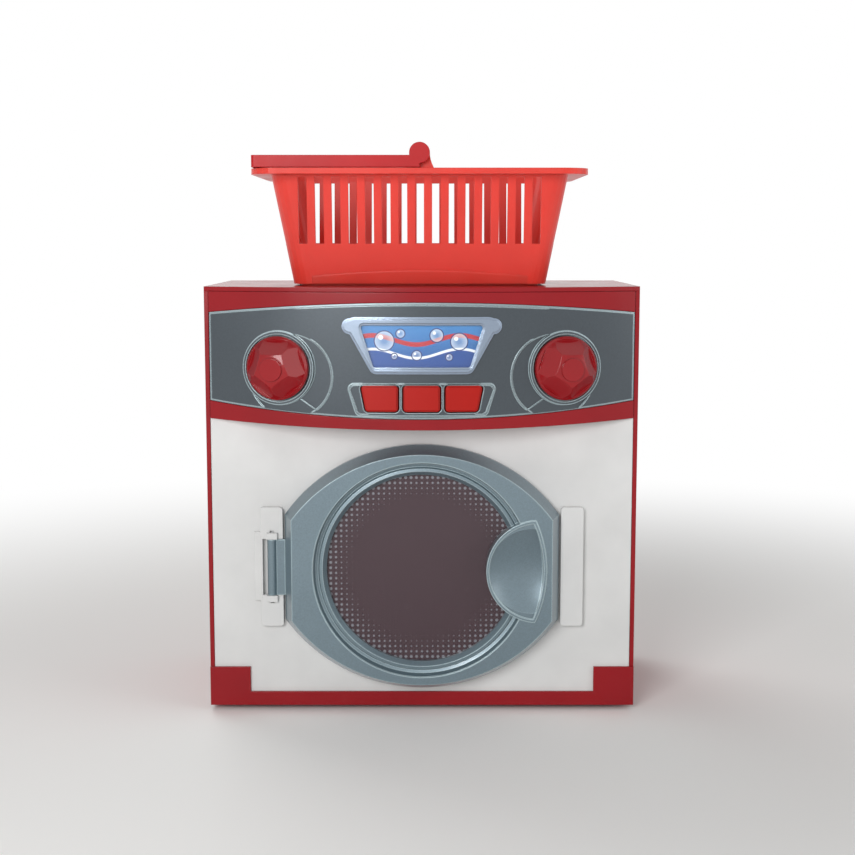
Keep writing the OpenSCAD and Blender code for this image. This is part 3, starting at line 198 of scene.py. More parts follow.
class StudioSettings(PropertyGroup):
    """Floor, lamps and camera"""
    floor: colour_property("Floor", "Colour of the floor", "#f7f7f5")
    key_power: FloatProperty(
        name="Key light", description="Power of the key light", unit="POWER", default=6.2)
    fill_power: FloatProperty(
        name="Fill light", description="Power of the fill light", unit="POWER", default=2.0)
    view_distance: FloatProperty(
        name="View distance", description="Distance from the front panel to the camera", unit="LENGTH",
        default=0.69)
    view_height: FloatProperty(
        name="View height", description="Height of the camera above the floor", unit="LENGTH", default=0.222)
    tilt: FloatProperty(
        name="Tilt", description="Angle that the camera looks down by", subtype="ANGLE",
        default=math.radians(7.2))
    frame_pixels: IntProperty(name="Frame", description="Width of the square render in pixels", default=855)
    focal_pixels: IntProperty(name="Focal length", description="Focal length in pixels", default=1500)


class ToyWasherSettings(PropertyGroup):
    """All settings of the toy"""
    shell: PointerProperty(type=ShellSettings)
    controls: PointerProperty(type=ControlSettings)
    display: PointerProperty(type=DisplaySettings)
    window: PointerProperty(type=WindowSettings)
    basket: PointerProperty(type=BasketSettings)
    inside: PointerProperty(type=InsideSettings)
    studio: PointerProperty(type=StudioSettings)


# ---- shader building ----

def add(tree, kind, sockets=None, **settings):
    """Adds a shader node; sockets maps an input's name or number to a value or to another node's output."""
    node = tree.nodes.new(kind)
    for name, value in settings.items():
        setattr(node, name, value)
    for name, value in (sockets or {}).items():
        if isinstance(value, bpy.types.NodeSocket):
            tree.links.new(value, node.inputs[name])
        else:
            node.inputs[name].default_value = value
    return node


def new_material(name):
    """An empty material and its node tree."""
    material = bpy.data.materials.new(name)
    material.use_nodes = True
    material.node_tree.nodes.clear()
    return material, material.node_tree


def rgba(colour, brightness=1.0):
    """A linear colour with its alpha, made lighter or darker."""
    return tuple(min(1.0, c * brightness) for c in colour) + (1.0,)


def moulded_surface(tree, grain, depth, edge):
    """Normal of a moulded surface: round edges and the grain that the mould leaves, seen as a soft sheen."""
    place = add(tree, "ShaderNodeTexCoord")
    # Spark-eroded grain is about 0.1 mm apart, which is too fine to show, so it is drawn coarser
    noise = add(tree, "ShaderNodeTexNoise", {
        "Vector": place.outputs["Object"], "Scale": 1 / grain, "Detail": 3.0, "Roughness": 0.6})
    rounded = add(tree, "ShaderNodeBevel", {"Radius": edge}, samples=6)
    surface = add(tree, "ShaderNodeBump", {
        "Height": noise.outputs["Fac"], "Normal": rounded.outputs["Normal"], "Strength": 0.35,
        "Distance": depth})
    return surface.outputs["Normal"]


def edge_mask(tree, reach):
    """1 on the edges and 0 on the faces: where a rounded normal leaves the flat one."""
    rounded = add(tree, "ShaderNodeBevel", {"Radius": reach}, samples=8)
    flat = add(tree, "ShaderNodeNewGeometry")
    likeness = add(tree, "ShaderNodeVectorMath", {
        0: rounded.outputs["Normal"], 1: flat.outputs["True Normal"]}, operation="DOT_PRODUCT")
    mask = add(tree, "ShaderNodeMapRange", {
        "Value": likeness.outputs["Value"], "From Min": 0.985, "From Max": 0.88})
    return mask.outputs[0]


def uneven(tree, period, low, high):
    """A value that wanders between low and high, for handling marks and the flow of the melt."""
    place = add(tree, "ShaderNodeTexCoord")
    noise = add(tree, "ShaderNodeTexNoise", {
        "Vector": place.outputs["Object"], "Scale": 1 / period, "Detail": 4.0})
    spread = add(tree, "ShaderNodeMapRange", {
        "Value": noise.outputs["Fac"], "From Min": 0.3, "From Max": 0.7, "To Min": low, "To Max": high})
    return spread.outputs[0]


def varied_colour(tree, colour, period, spread=0.06):
    """A moulded colour that is a little lighter and darker in soft patches."""
    mix = add(tree, "ShaderNodeMix", {
        "Factor": uneven(tree, period, low=0.0, high=1.0),
        6: rgba(colour, 1 - spread), 7: rgba(colour, 1 + spread)}, data_type="RGBA")
    return mix.outputs[2]


def injection_moulded(name, colour, roughness, shell, coat=0.0, grain_depth=0.02, shine=0.5):
    """Coloured plastic from an injection mould: an even colour, a soft highlight and slightly round edges."""
    # The denoiser leaves a seam where roughness crosses 0.27, so each finish keeps to one side of it
    material, tree = new_material(name)
    shader = add(tree, "ShaderNodeBsdfPrincipled", {
        "Base Color": varied_colour(tree, colour, period=30 * MM),
        "Roughness": uneven(tree, period=18 * MM, low=roughness * 0.85, high=roughness * 1.2),
        "IOR": 1.53, "Specular IOR Level": shine, "Coat Weight": coat, "Coat Roughness": 0.08,
        "Normal": moulded_surface(tree, shell.grain, grain_depth * MM, shell.edge)})
    add(tree, "ShaderNodeOutputMaterial", {"Surface": shader.outputs[0]})
    return material


def metal_flake_abs(name, colour, shell):
    """ABS moulded with aluminium flake: a slate ground whose flakes catch the light under a smooth skin, with
    a painted highlight of lighter slate along its edges.
    """
    material, tree = new_material(name)
    place = add(tree, "ShaderNodeTexCoord")
    # Real flakes are about 0.05 mm across, which is too fine to show, so they are drawn coarser
    flakes = add(tree, "ShaderNodeTexVoronoi", {
        "Vector": place.outputs["Object"], "Scale": 1 / shell.flake, "Randomness": 1.0})
    grey = add(tree, "ShaderNodeRGBToBW", {"Color": flakes.outputs["Color"]})
    sparkle = add(tree, "ShaderNodeMix", {
        "Factor": grey.outputs[0], 6: rgba(colour, 0.92), 7: rgba(colour, 1.1)}, data_type="RGBA")
    # Every edge is painted in the lighter slate: a painted highlight in place of the light that the rounded
    # edges catch
    edge_highlighted = add(tree, "ShaderNodeMix", {
        "Factor": edge_mask(tree, 2.2 * shell.edge), 6: sparkle.outputs[2], 7: rgba(shell.edge_highlight_slate)},
        data_type="RGBA")
    shader = add(tree, "ShaderNodeBsdfPrincipled", {
        "Base Color": edge_highlighted.outputs[2], "Metallic": 0.4,
        "Roughness": uneven(tree, period=22 * MM, low=0.29, high=0.38),
        "Coat Weight": 0.7, "Coat Roughness": 0.16,
        "Normal": moulded_surface(tree, shell.grain, 0.008 * MM, shell.edge)})
    add(tree, "ShaderNodeOutputMaterial", {"Surface": shader.outputs[0]})
    return material


def vacuum_metallised_plastic(name, colour, shell):
    """Plastic with a vacuum-laid metal skin: bright, with a faint orange-peel wave in its reflections."""
    material, tree = new_material(name)
    place = add(tree, "ShaderNodeTexCoord")
    wave = add(tree, "ShaderNodeTexNoise", {
        "Vector": place.outputs["Object"], "Scale": 1 / (4 * MM), "Detail": 1.0})
    rounded = add(tree, "ShaderNodeBevel", {"Radius": 1.2 * shell.edge}, samples=8)
    surface = add(tree, "ShaderNodeBump", {
        "Height": wave.outputs["Fac"], "Normal": rounded.outputs["Normal"], "Strength": 0.3,
        "Distance": 0.05 * MM})
    shader = add(tree, "ShaderNodeBsdfPrincipled", {
        "Base Color": rgba(colour), "Metallic": 0.8, "Roughness": 0.24, "Normal": surface.outputs["Normal"]})
    add(tree, "ShaderNodeOutputMaterial", {"Surface": shader.outputs[0]})
    return material


def polished_metal(name, colour, roughness, streak):
    """Drawn, turned or plated metal: bright along the draw, with fine streaks across it."""
    material, tree = new_material(name)
    place = add(tree, "ShaderNodeTexCoord")
    stretched = add(tree, "ShaderNodeMapping", {
        "Vector": place.outputs["Object"], "Scale": (1 / streak, 0.1 / streak, 1 / streak)})
    noise = add(tree, "ShaderNodeTexNoise", {"Vector": stretched.outputs[0], "Scale": 1.0, "Detail": 3.0})
    gloss = add(tree, "ShaderNodeMapRange", {
        "Value": noise.outputs["Fac"], "To Min": roughness * 0.7, "To Max": roughness * 1.4})
    shader = add(tree, "ShaderNodeBsdfPrincipled", {
        "Base Color": rgba(colour), "Metallic": 1.0, "Roughness": gloss.outputs[0]})
    add(tree, "ShaderNodeOutputMaterial", {"Surface": shader.outputs[0]})
    return material


def moulded_rubber(name, colour):
    """Moulded rubber: dark and dry, with a dusty bloom in its fine grain."""
    material, tree = new_material(name)
    place = add(tree, "ShaderNodeTexCoord")
    noise = add(tree, "ShaderNodeTexNoise", {
        "Vector": place.outputs["Object"], "Scale": 1 / (0.8 * MM), "Detail": 4.0})
    bloom = add(tree, "ShaderNodeMix", {
        "Factor": noise.outputs["Fac"], 6: rgba(colour), 7: rgba(colour, 1.5)}, data_type="RGBA")
    surface = add(tree, "ShaderNodeBump", {
        "Height": noise.outputs["Fac"], "Strength": 0.5, "Distance": 0.05 * MM})
    shader = add(tree, "ShaderNodeBsdfPrincipled", {
        "Base Color": bloom.outputs[2], "Roughness": 0.7, "IOR": 1.5, "Normal": surface.outputs["Normal"]})
    add(tree, "ShaderNodeOutputMaterial", {"Surface": shader.outputs[0]})
    return material


def dress(material, *nodes):
    """Gives a material to every slot of these parts."""
    for name in nodes:
        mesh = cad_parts[name].data
        mesh.materials.clear()
        mesh.materials.append(material)


# ---- mouldings ----

def on_bulge(x, z, out):
    """The point of the bulged front at this width and height, this far out of the fascia's face."""
    radius = BULGE_RADIUS + out
    return Vector((x, BULGE_CENTRE_Y - math.sqrt(radius * radius - x * x), z))


def raised_line(name, path, lift, controls, material, body, closed=False):
    """A half-round bead moulded on the bulged front along a path of (x, z) points; its ends taper down."""
    count = len(path)
    rows = []
    for i, (x, z) in enumerate(path):
        before = path[(i - 1) % count if closed else max(i - 1, 0)]
        after = path[(i + 1) % count if closed else min(i + 1, count - 1)]
        run = Vector((after[0] - before[0], after[1] - before[1])).normalized()
        end = LINE_END if not closed and i in (0, count - 1) else 1.0
        row = []
        for j in range(LINE_SIDES + 1):
            turn = math.pi * j / LINE_SIDES
            high = math.sin(turn) * controls.line_height * end
            offset = math.cos(turn) * controls.line_width / 2 * end
            row.append(on_bulge(x - run.y * offset, z + run.x * offset, lift + high - LINE_SUNK))
        rows.append(row)
    lofted(name, rows, material, body, closed)


def lofted(name, rows, material, body, closed):
    """A solid through rows of points that each go once round it; closed joins the last row to the first."""
    bm = bmesh.new()
    grid = [[bm.verts.new(point) for point in row] for row in rows]
    count = len(grid)
    for i in range(count if closed else count - 1):
        row, after = grid[i], grid[(i + 1) % count]
        for j in range(len(row)):
            k = (j + 1) % len(row)
            bm.faces.new((row[j], after[j], after[k], row[k]))
    if not closed:
        bm.faces.new(grid[0])
        bm.faces.new(reversed(grid[-1]))
    bmesh.ops.recalc_face_normals(bm, faces=bm.faces)
    mesh = bpy.data.meshes.new(name)
    bm.to_mesh(mesh)
    bm.free()
    for face in mesh.polygons:
        face.use_smooth = True
    mesh.set_sharp_from_angle(angle=math.radians(50))
    mesh.materials.append(material)
    piece = bpy.data.objects.new(name, mesh)
    bpy.context.collection.objects.link(piece)
    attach(piece, body)


def arc(centre, radius, start, end, steps):
    """Points of a circle's arc between two angles in degrees."""
    angles = [math.radians(start + (end - start) * i / steps) for i in range(steps + 1)]
    return [(centre[0] + radius * math.cos(a), centre[1] + radius * math.sin(a)) for a in angles]


def straight(start, end, steps=8):
    """Points of a straight line."""
    return [tuple(s + (e - s) * i / steps for s, e in zip(start, end)) for i in range(steps + 1)]


# ---- operators ----

class TOYWASHER_OT_studio(Operator):
    """Pale floor, soft lamps and the camera"""
    bl_idname = "toywasher.studio"
    bl_label = "Studio"

    def execute(self, context):
        studio = context.scene.toy_washer.studio
        self.lay_floor(studio)
        self.light_world(context)
        self.hang_lamp("key", (-0.34, -0.98, 0.44), 0.42, studio.key_power)
        self.hang_lamp("fill", (0.85, -0.35, 0.45), 0.70, studio.fill_power)
        self.hang_lamp("back", (-0.45, 0.65, 0.80), 0.60, BACK_SHARE * studio.fill_power)
        self.place_camera(context, studio)
        return {"FINISHED"}

    def lay_floor(self, studio):
        """A round matt floor that fades into the white background away from the toy."""
        bm = bmesh.new()
        bmesh.ops.create_circle(bm, cap_ends=True, radius=FLOOR_RADIUS, segments=96)
        mesh = bpy.data.meshes.new("floor")
        bm.to_mesh(mesh)
        bm.free()
        floor = bpy.data.objects.new("floor", mesh)
        bpy.context.collection.objects.link(floor)
        material, tree = new_material("Painted studio floor")
        place = add(tree, "ShaderNodeTexCoord")
        reach = add(tree, "ShaderNodeVectorMath", {0: place.outputs["Object"]}, operation="LENGTH")
        far = add(tree, "ShaderNodeMapRange", {
            "Value": reach.outputs["Value"], "From Min": FLOOR_FADE[0], "From Max": FLOOR_FADE[1]},
            interpolation_type="SMOOTHSTEP")
        painted = add(tree, "ShaderNodeBsdfPrincipled", {
            "Base Color": rgba(studio.floor), "Roughness": 0.75, "Specular IOR Level": 0.2})
        white = add(tree, "ShaderNodeEmission", {"Color": WHITE, "Strength": 1.0})
        blend = add(tree, "ShaderNodeMixShader", {
            0: far.outputs[0], 1: painted.outputs[0], 2: white.outputs[0]})
        add(tree, "ShaderNodeOutputMaterial", {"Surface": blend.outputs[0]})
        mesh.materials.append(material)

    def light_world(self, context):
        """A dim grey room for the light that falls on things, and white wherever the room itself is seen."""
        world = bpy.data.worlds.new("Studio room")
        context.scene.world = world
        world.use_nodes = True
        tree = world.node_tree
        tree.nodes.clear()
        path = add(tree, "ShaderNodeLightPath")
        mirrored = add(tree, "ShaderNodeMath", {
            0: path.outputs["Is Glossy Ray"], 1: path.outputs["Is Transmission Ray"]}, operation="MAXIMUM")
        seen = add(tree, "ShaderNodeMath", {
            0: path.outputs["Is Camera Ray"], 1: mirrored.outputs[0]}, operation="MAXIMUM")
        room = add(tree, "ShaderNodeBackground", {"Color": WHITE, "Strength": ROOM_LIGHT})
        white = add(tree, "ShaderNodeBackground", {"Color": WHITE, "Strength": 1.0})
        blend = add(tree, "ShaderNodeMixShader", {
            0: seen.outputs[0], 1: room.outputs[0], 2: white.outputs[0]})
        add(tree, "ShaderNodeOutputWorld", {"Surface": blend.outputs[0]})

    def hang_lamp(self, name, place, size, power):
        """A square lamp that points at the middle of the toy; its size makes its shadows soft."""
        lamp = bpy.data.lights.new(name, "AREA")
        lamp.size = size
        lamp.energy = power
        holder = bpy.data.objects.new(name, lamp)
        holder.location = place
        aim = LAMP_AIM - holder.location
        holder.rotation_euler = aim.to_track_quat("-Z", "Y").to_euler()
        bpy.context.collection.objects.link(holder)

    def place_camera(self, context, studio):
        """A camera in front of the toy that looks a little down on it."""
        camera = bpy.data.cameras.new("front view")
        camera.sensor_width = 36
        camera.lens = studio.focal_pixels / studio.frame_pixels * camera.sensor_width
        camera.clip_start = 0.01
        holder = bpy.data.objects.new("front view", camera)
        holder.location = (CAMERA_X, FRONT_Y - studio.view_distance, studio.view_height)
        holder.rotation_euler = (math.pi / 2 - studio.tilt, 0, 0)
        bpy.context.collection.objects.link(holder)
        context.scene.camera = holder


class TOYWASHER_OT_cabinet(Operator):
    """Red moulded cabinet, rear cover, fascia and battery cover"""
    bl_idname = "toywasher.cabinet"
    bl_label = "Red cabinet"

    def execute(self, context):
        shell = context.scene.toy_washer.shell
        # A polished mould leaves the front and sides glossy, and an etched one leaves the back dull
        gloss = injection_moulded("Injection-moulded ABS, gloss red", shell.red, 0.22, shell, shine=0.25)
        dress(gloss, "cabinet", "fascia", "base")
        grained = injection_moulded(
            "Injection-moulded ABS, grained red", shell.red, 0.42, shell, grain_depth=0.05, shine=0.4)
        dress(grained, "rear_cover", "battery_cover")
        return {"FINISHED"}


class TOYWASHER_OT_front(Operator):
    """White front panel"""
    bl_idname = "toywasher.front"
    bl_label = "White front"

    def execute(self, context):
        shell = context.scene.toy_washer.shell
        # Satin: the highlight is broad and soft
        white = injection_moulded("Injection-moulded ABS, satin white", shell.white, 0.34, shell)
        dress(white, "front_panel")
        return {"FINISHED"}


class TOYWASHER_OT_slate(Operator):
    """Metallic grey control panel and door"""
    bl_idname = "toywasher.slate"
    bl_label = "Slate mouldings"

    def execute(self, context):
        shell = context.scene.toy_washer.shell
        # One metallic grey in two shades: the panel's is darkened as painted shade, and the door's, window
        # ring's and latch's is lightened as painted light
        slate = metal_flake_abs("Metal-flake ABS, slate darkened as painted shade", shell.slate, shell)
        dress(slate, "control_panel")
        lit_slate = metal_flake_abs("Metal-flake ABS, slate lightened as painted light", shell.door, shell)
        dress(lit_slate, "door_frame", "window_ring", "latch_hook")
        self.panel_lines(context.scene.toy_washer.controls, slate)
        return {"FINISHED"}

    def panel_lines(self, controls, slate):
        """Raised beads of the control panel: along its top, round the knobs' dishes and round the buttons."""
        body = "housing"
        lean = math.degrees(math.asin(TOP_BEAD_HALF / TOP_BEAD_RADIUS))
        top = arc((0, PANEL_TOP - PANEL_TOP_RADIUS), TOP_BEAD_RADIUS, 90 + lean, 90 - lean, 40)
        raised_line("panel_top_bead", top, PANEL_RISE, controls, slate, body)
        for side, word in ((-1, "left"), (1, "right")):
            dish = [(side * x, z) for x, z in
                    arc(DISH_CENTRE, DISH_RADIUS + DISH_BEAD_GAP, *DISH_BEAD_SPAN, 32)]
            raised_line("dish_bead_" + word, dish, PANEL_RISE, controls, slate, body)
            foot = dish[-1]
            tick = straight(foot, (foot[0] + side * TICK_RUN[0], foot[1] + TICK_RUN[1]))
            raised_line("tick_bead_" + word, tick, -DISH_DEPTH, controls, slate, body)
        outline = self.surround_outline()
        raised_line("button_surround_bead", outline, SURROUND_RISE, controls, slate, body, closed=True)

    def surround_outline(self):
        """The rounded trapezoid round the three buttons, a little inside its edge."""
        low, high = SURROUND_LOW + SURROUND_INSET, SURROUND_HIGH - SURROUND_INSET
        wide, narrow = SURROUND_WIDE - SURROUND_INSET, SURROUND_NARROW - SURROUND_INSET
        corners = (((wide, high), 0), ((-wide, high), 90), ((-narrow, low), 180), ((narrow, low), 270))
        points = []
        for (x, z), start in corners:
            centre = (x - math.copysign(SURROUND_CORNER, x),
                      z - SURROUND_CORNER if z == high else z + SURROUND_CORNER)
            points += arc(centre, SURROUND_CORNER, start, start + 90, 6)
        return points


class TOYWASHER_OT_display(Operator):
    """Display frame, printed insert and clear lens"""
    bl_idname = "toywasher.display"
    bl_label = "Display"

    # Each bubble's middle and radius, as shares of the card's width and height
    bubbles = ((0.20, 0.62, 0.22), (0.33, 0.78, 0.10), (0.62, 0.74, 0.15), (0.80, 0.60, 0.19),
               (0.46, 0.30, 0.11), (0.72, 0.26, 0.08), (0.28, 0.28, 0.07))
    foam_white = (0.9, 0.95, 1.0)
    bubble_white = (0.85, 0.94, 1.0)
    glint_white = (1.0, 1.0, 1.0)

    def execute(self, context):
        washer = context.scene.toy_washer
        silver = vacuum_metallised_plastic(
            "Vacuum-metallised ABS, satin silver", washer.controls.silver, washer.shell)
        dress(silver, "display_bezel")
        dress(self.printed_insert(washer.display), "display_label")
        dress(self.clear_styrene(), "display_lens")
        return {"FINISHED"}

    def printed_insert(self, display):
        """Offset-printed card: flat inks with crisp edges under a soft varnish, for a sea with a wave,
        a ribbon and bubbles."""
        material, tree = new_material("Offset-printed card, varnished")
        low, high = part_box("display_label")
        width, height = (high.x - low.x), (high.z - low.z)
        place = add(tree, "ShaderNodeTexCoord")
        axes = add(tree, "ShaderNodeSeparateXYZ", {0: place.outputs["Object"]})
        across = add(tree, "ShaderNodeMapRange", {
            "Value": axes.outputs["X"], "From Min": low.x, "From Max": high.x})
        up = add(tree, "ShaderNodeMapRange", {
            "Value": axes.outputs["Z"], "From Min": low.z, "From Max": high.z})
        ground = add(tree, "ShaderNodeMix", {
            "Factor": up.outputs[0], 6: rgba(display.deep), 7: rgba(display.sky)}, data_type="RGBA")
        # The wave's crest follows a sine, in shares of the card's height, and depth is counted down from it
        swell = add(tree, "ShaderNodeMath", {0: across.outputs[0], 1: 9.0, 2: 0.6}, operation="MULTIPLY_ADD")
        sine = add(tree, "ShaderNodeMath", {0: swell.outputs[0]}, operation="SINE")
        crest = add(tree, "ShaderNodeMath", {0: sine.outputs[0], 1: 0.10, 2: 0.34}, operation="MULTIPLY_ADD")
        depth = add(tree, "ShaderNodeMath", {0: crest.outputs[0], 1: up.outputs[0]}, operation="SUBTRACT")
        sea = add(tree, "ShaderNodeMapRange", {
            "Value": depth.outputs[0], "From Min": -0.01, "From Max": 0.01})
        foam = self.band(tree, depth.outputs[0], 0.0, 0.035)
        ribbon = self.band(tree, depth.outputs[0], -0.30, 0.06)
        inks = [(sea.outputs[0], display.deep), (foam, self.foam_white), (ribbon, display.accent)]
        for x, z, radius in self.bubbles:
            inks += self.bubble(
                tree, axes, low.x + x * width, low.z + z * height, radius * height, display.navy)
        picture = ground
        for mask, ink in inks:
            picture = add(tree, "ShaderNodeMix", {
                "Factor": mask, 6: picture.outputs[2], 7: rgba(ink)}, data_type="RGBA")
        shader = add(tree, "ShaderNodeBsdfPrincipled", {
            "Base Color": picture.outputs[2], "Roughness": 0.35, "IOR": 1.48, "Coat Weight": 0.4})
        add(tree, "ShaderNodeOutputMaterial", {"Surface": shader.outputs[0]})
        return material

    def band(self, tree, value, middle, half):
        """1 within half a width of the middle, with a soft border."""
        away = add(tree, "ShaderNodeMath", {0: value, 1: middle}, operation="SUBTRACT")
        size = add(tree, "ShaderNodeMath", {0: away.outputs[0]}, operation="ABSOLUTE")
        ramp = add(tree, "ShaderNodeMapRange", {
            "Value": size.outputs[0], "From Min": half, "From Max": half * 0.7})
        return ramp.outputs[0]

    def bubble(self, tree, axes, x, z, radius, outline):
        """The inks of a bubble: a pale disc, clearer in its middle, a dark outline and a white glint."""
        def distance(cx, cz):
            dx = add(tree, "ShaderNodeMath", {0: axes.outputs["X"], 1: cx}, operation="SUBTRACT")
            dz = add(tree, "ShaderNodeMath", {0: axes.outputs["Z"], 1: cz}, operation="SUBTRACT")
            both = add(tree, "ShaderNodeCombineXYZ", {0: dx.outputs[0], 1: dz.outputs[0]})
            reach = add(tree, "ShaderNodeVectorMath", {0: both.outputs[0]}, operation="LENGTH")
            return reach.outputs["Value"]

        away = distance(x, z)
        disc = add(tree, "ShaderNodeMapRange", {
            "Value": away, "From Min": 0.2 * radius, "From Max": radius, "To Min": 0.15, "To Max": 0.6})
        inside = add(tree, "ShaderNodeMath", {0: away, 1: radius}, operation="LESS_THAN")
        veil = add(tree, "ShaderNodeMath", {0: disc.outputs[0], 1: inside.outputs[0]}, operation="MULTIPLY")
        rim = self.band(tree, away, radius, 0.28 * MM)
        glint = add(tree, "ShaderNodeMath", {
            0: distance(x - 0.35 * radius, z + 0.35 * radius), 1: 0.24 * radius}, operation="LESS_THAN")
        return [(veil.outputs[0], self.bubble_white), (rim, outline), (glint.outputs[0], self.glint_white)]

    def clear_styrene(self):
        """Clear moulded polystyrene: almost unseen but for its gloss and its edges."""
        material, tree = new_material("Clear moulded polystyrene")
        clear = add(tree, "ShaderNodeBsdfPrincipled", {
            "Base Color": WHITE, "Roughness": 0.03, "IOR": 1.3, "Transmission Weight": 1.0})
        open_air = add(tree, "ShaderNodeBsdfTransparent")
        # Lamps and room light the card as if the lens were open, so the print keeps its colours
        path = add(tree, "ShaderNodeLightPath")
        open_to = add(tree, "ShaderNodeMath", {
            0: path.outputs["Is Shadow Ray"], 1: path.outputs["Is Diffuse Ray"]}, operation="MAXIMUM")
        blend = add(tree, "ShaderNodeMixShader", {
            0: open_to.outputs[0], 1: clear.outputs[0], 2: open_air.outputs[0]})
        add(tree, "ShaderNodeOutputMaterial", {"Surface": blend.outputs[0]})
        return material


class TOYWASHER_OT_controls(Operator):
    """Glossy knobs and push buttons"""
    bl_idname = "toywasher.controls"
    bl_label = "Knobs and buttons"

    def execute(self, context):
        shell = context.scene.toy_washer.shell
        controls = context.scene.toy_washer.controls
        # The knobs' facets come from a mirror-polished mould, so each catches its own highlight
        knob = injection_moulded(
            "Polished-mould ABS, knob red", controls.knob_red, 0.16, shell, coat=0.12, grain_depth=0.004,
            shine=0.3)
        dress(knob, "knob_left", "knob_right")
        # The buttons are satin, so they stay an even bright red
        button = injection_moulded(
            "Injection-moulded ABS, button red", controls.button_red, 0.34, shell, shine=0.22)
        dress(button, "button_left", "button_middle", "button_right")
        return {"FINISHED"}


class TOYWASHER_OT_window(Operator):
    """Smoked window with its printed halftone"""
    bl_idname = "toywasher.window"
    bl_label = "Door window"

    # A dot's radius in shares of the pitch, where the dots begin and at the window's edge, and its border
    dot_reach = (0.05, 0.37)
    dot_border = 0.12
    # How much the smoked sheet and the ink hide of what lies behind
    sheet_cover, ink_cover = 0.5, 0.92

    def execute(self, context):
        dress(self.smoked_styrene(context.scene.toy_washer.window), "door_window")
        return {"FINISHED"}

    def smoked_styrene(self, window):
        """Smoked polystyrene with a screen-printed halftone: a glossy dark sheet whose dots fade inwards."""
        material, tree = new_material("Smoked polystyrene with a screen-printed halftone")
        place = add(tree, "ShaderNodeTexCoord")
        axes = add(tree, "ShaderNodeSeparateXYZ", {0: place.outputs["Object"]})
        height = add(tree, "ShaderNodeMath", {0: axes.outputs["Z"], 1: DOOR_CENTRE_Z}, operation="SUBTRACT")
        plan = add(tree, "ShaderNodeCombineXYZ", {0: axes.outputs["X"], 1: height.outputs[0]})
        reach = add(tree, "ShaderNodeVectorMath", {0: plan.outputs[0]}, operation="LENGTH")
        grid = add(tree, "ShaderNodeTexVoronoi", {
            "Vector": plan.outputs[0], "Scale": 1 / window.pitch, "Randomness": 0.0},
            voronoi_dimensions="2D")
        size = add(tree, "ShaderNodeMapRange", {
            "Value": reach.outputs["Value"], "From Min": window.start, "From Max": WINDOW_RADIUS,
            "To Min": self.dot_reach[0], "To Max": self.dot_reach[1]})
        inner = add(tree, "ShaderNodeMath", {0: size.outputs[0], 1: self.dot_border}, operation="SUBTRACT")
        dot = add(tree, "ShaderNodeMapRange", {
            "Value": grid.outputs["Distance"], "From Min": size.outputs[0], "From Max": inner.outputs[0]})
        tint = add(tree, "ShaderNodeMix", {
            "Factor": dot.outputs[0], 6: rgba(window.smoke), 7: rgba(window.dots)}, data_type="RGBA")
        sheet = add(tree, "ShaderNodeBsdfPrincipled", {
            "Base Color": tint.outputs[2], "Roughness": 0.12, "IOR": 1.5, "Coat Weight": 0.3})
        clear = add(tree, "ShaderNodeBsdfTransparent", {"Color": rgba(linear("#b8969c"))})
        cover = add(tree, "ShaderNodeMapRange", {
            "Value": dot.outputs[0], "To Min": self.sheet_cover, "To Max": self.ink_cover})
        blend = add(tree, "ShaderNodeMixShader", {
            0: cover.outputs[0], 1: clear.outputs[0], 2: sheet.outputs[0]})
        add(tree, "ShaderNodeOutputMaterial", {"Surface": blend.outputs[0]})
        return material


class TOYWASHER_OT_drum(Operator):
    """Drum, tub, seal and the latch's catch"""
    bl_idname = "toywasher.drum"
    bl_label = "Drum and tub"

    def execute(self, context):
        shell = context.scene.toy_washer.shell
        inside = context.scene.toy_washer.inside
        # A sprayed silver skin makes the drum look like steel
        dress(vacuum_metallised_plastic("Silver-sprayed polypropylene", inside.drum, shell), "drum")
        # Unpainted polypropylene from a dull mould: an even waxy grey
        tub = injection_moulded("Injection-moulded polypropylene, grey", inside.tub, 0.5, shell)
        dress(tub, "tub", "gear_plate", "latch_catch")
        dress(moulded_rubber("Moulded seal rubber, grey", linear("#55565a")), "port_seal")
        return {"FINISHED"}


class TOYWASHER_OT_drive(Operator):
    """Gears, shafts, bushes and motor"""
    bl_idname = "toywasher.drive"
    bl_label = "Drive"

    def execute(self, context):
        washer = context.scene.toy_washer
        # Acetal is milky white and slippery, with a soft highlight
        gear = injection_moulded("Injection-moulded acetal, white", washer.inside.gear, 0.38, washer.shell)
        dress(gear, "drum_gear", "compound_gear")
        dress(polished_metal("Ground steel rod", linear("#b4b6ba"), 0.19, 0.4 * MM),
              "drum_shaft", "idler_axle", "hinge_pin", "motor")
        dress(polished_metal("Turned brass", linear("#c9a24f"), 0.19, 0.3 * MM),
              "shaft_bushes", "motor_pinion")
        return {"FINISHED"}


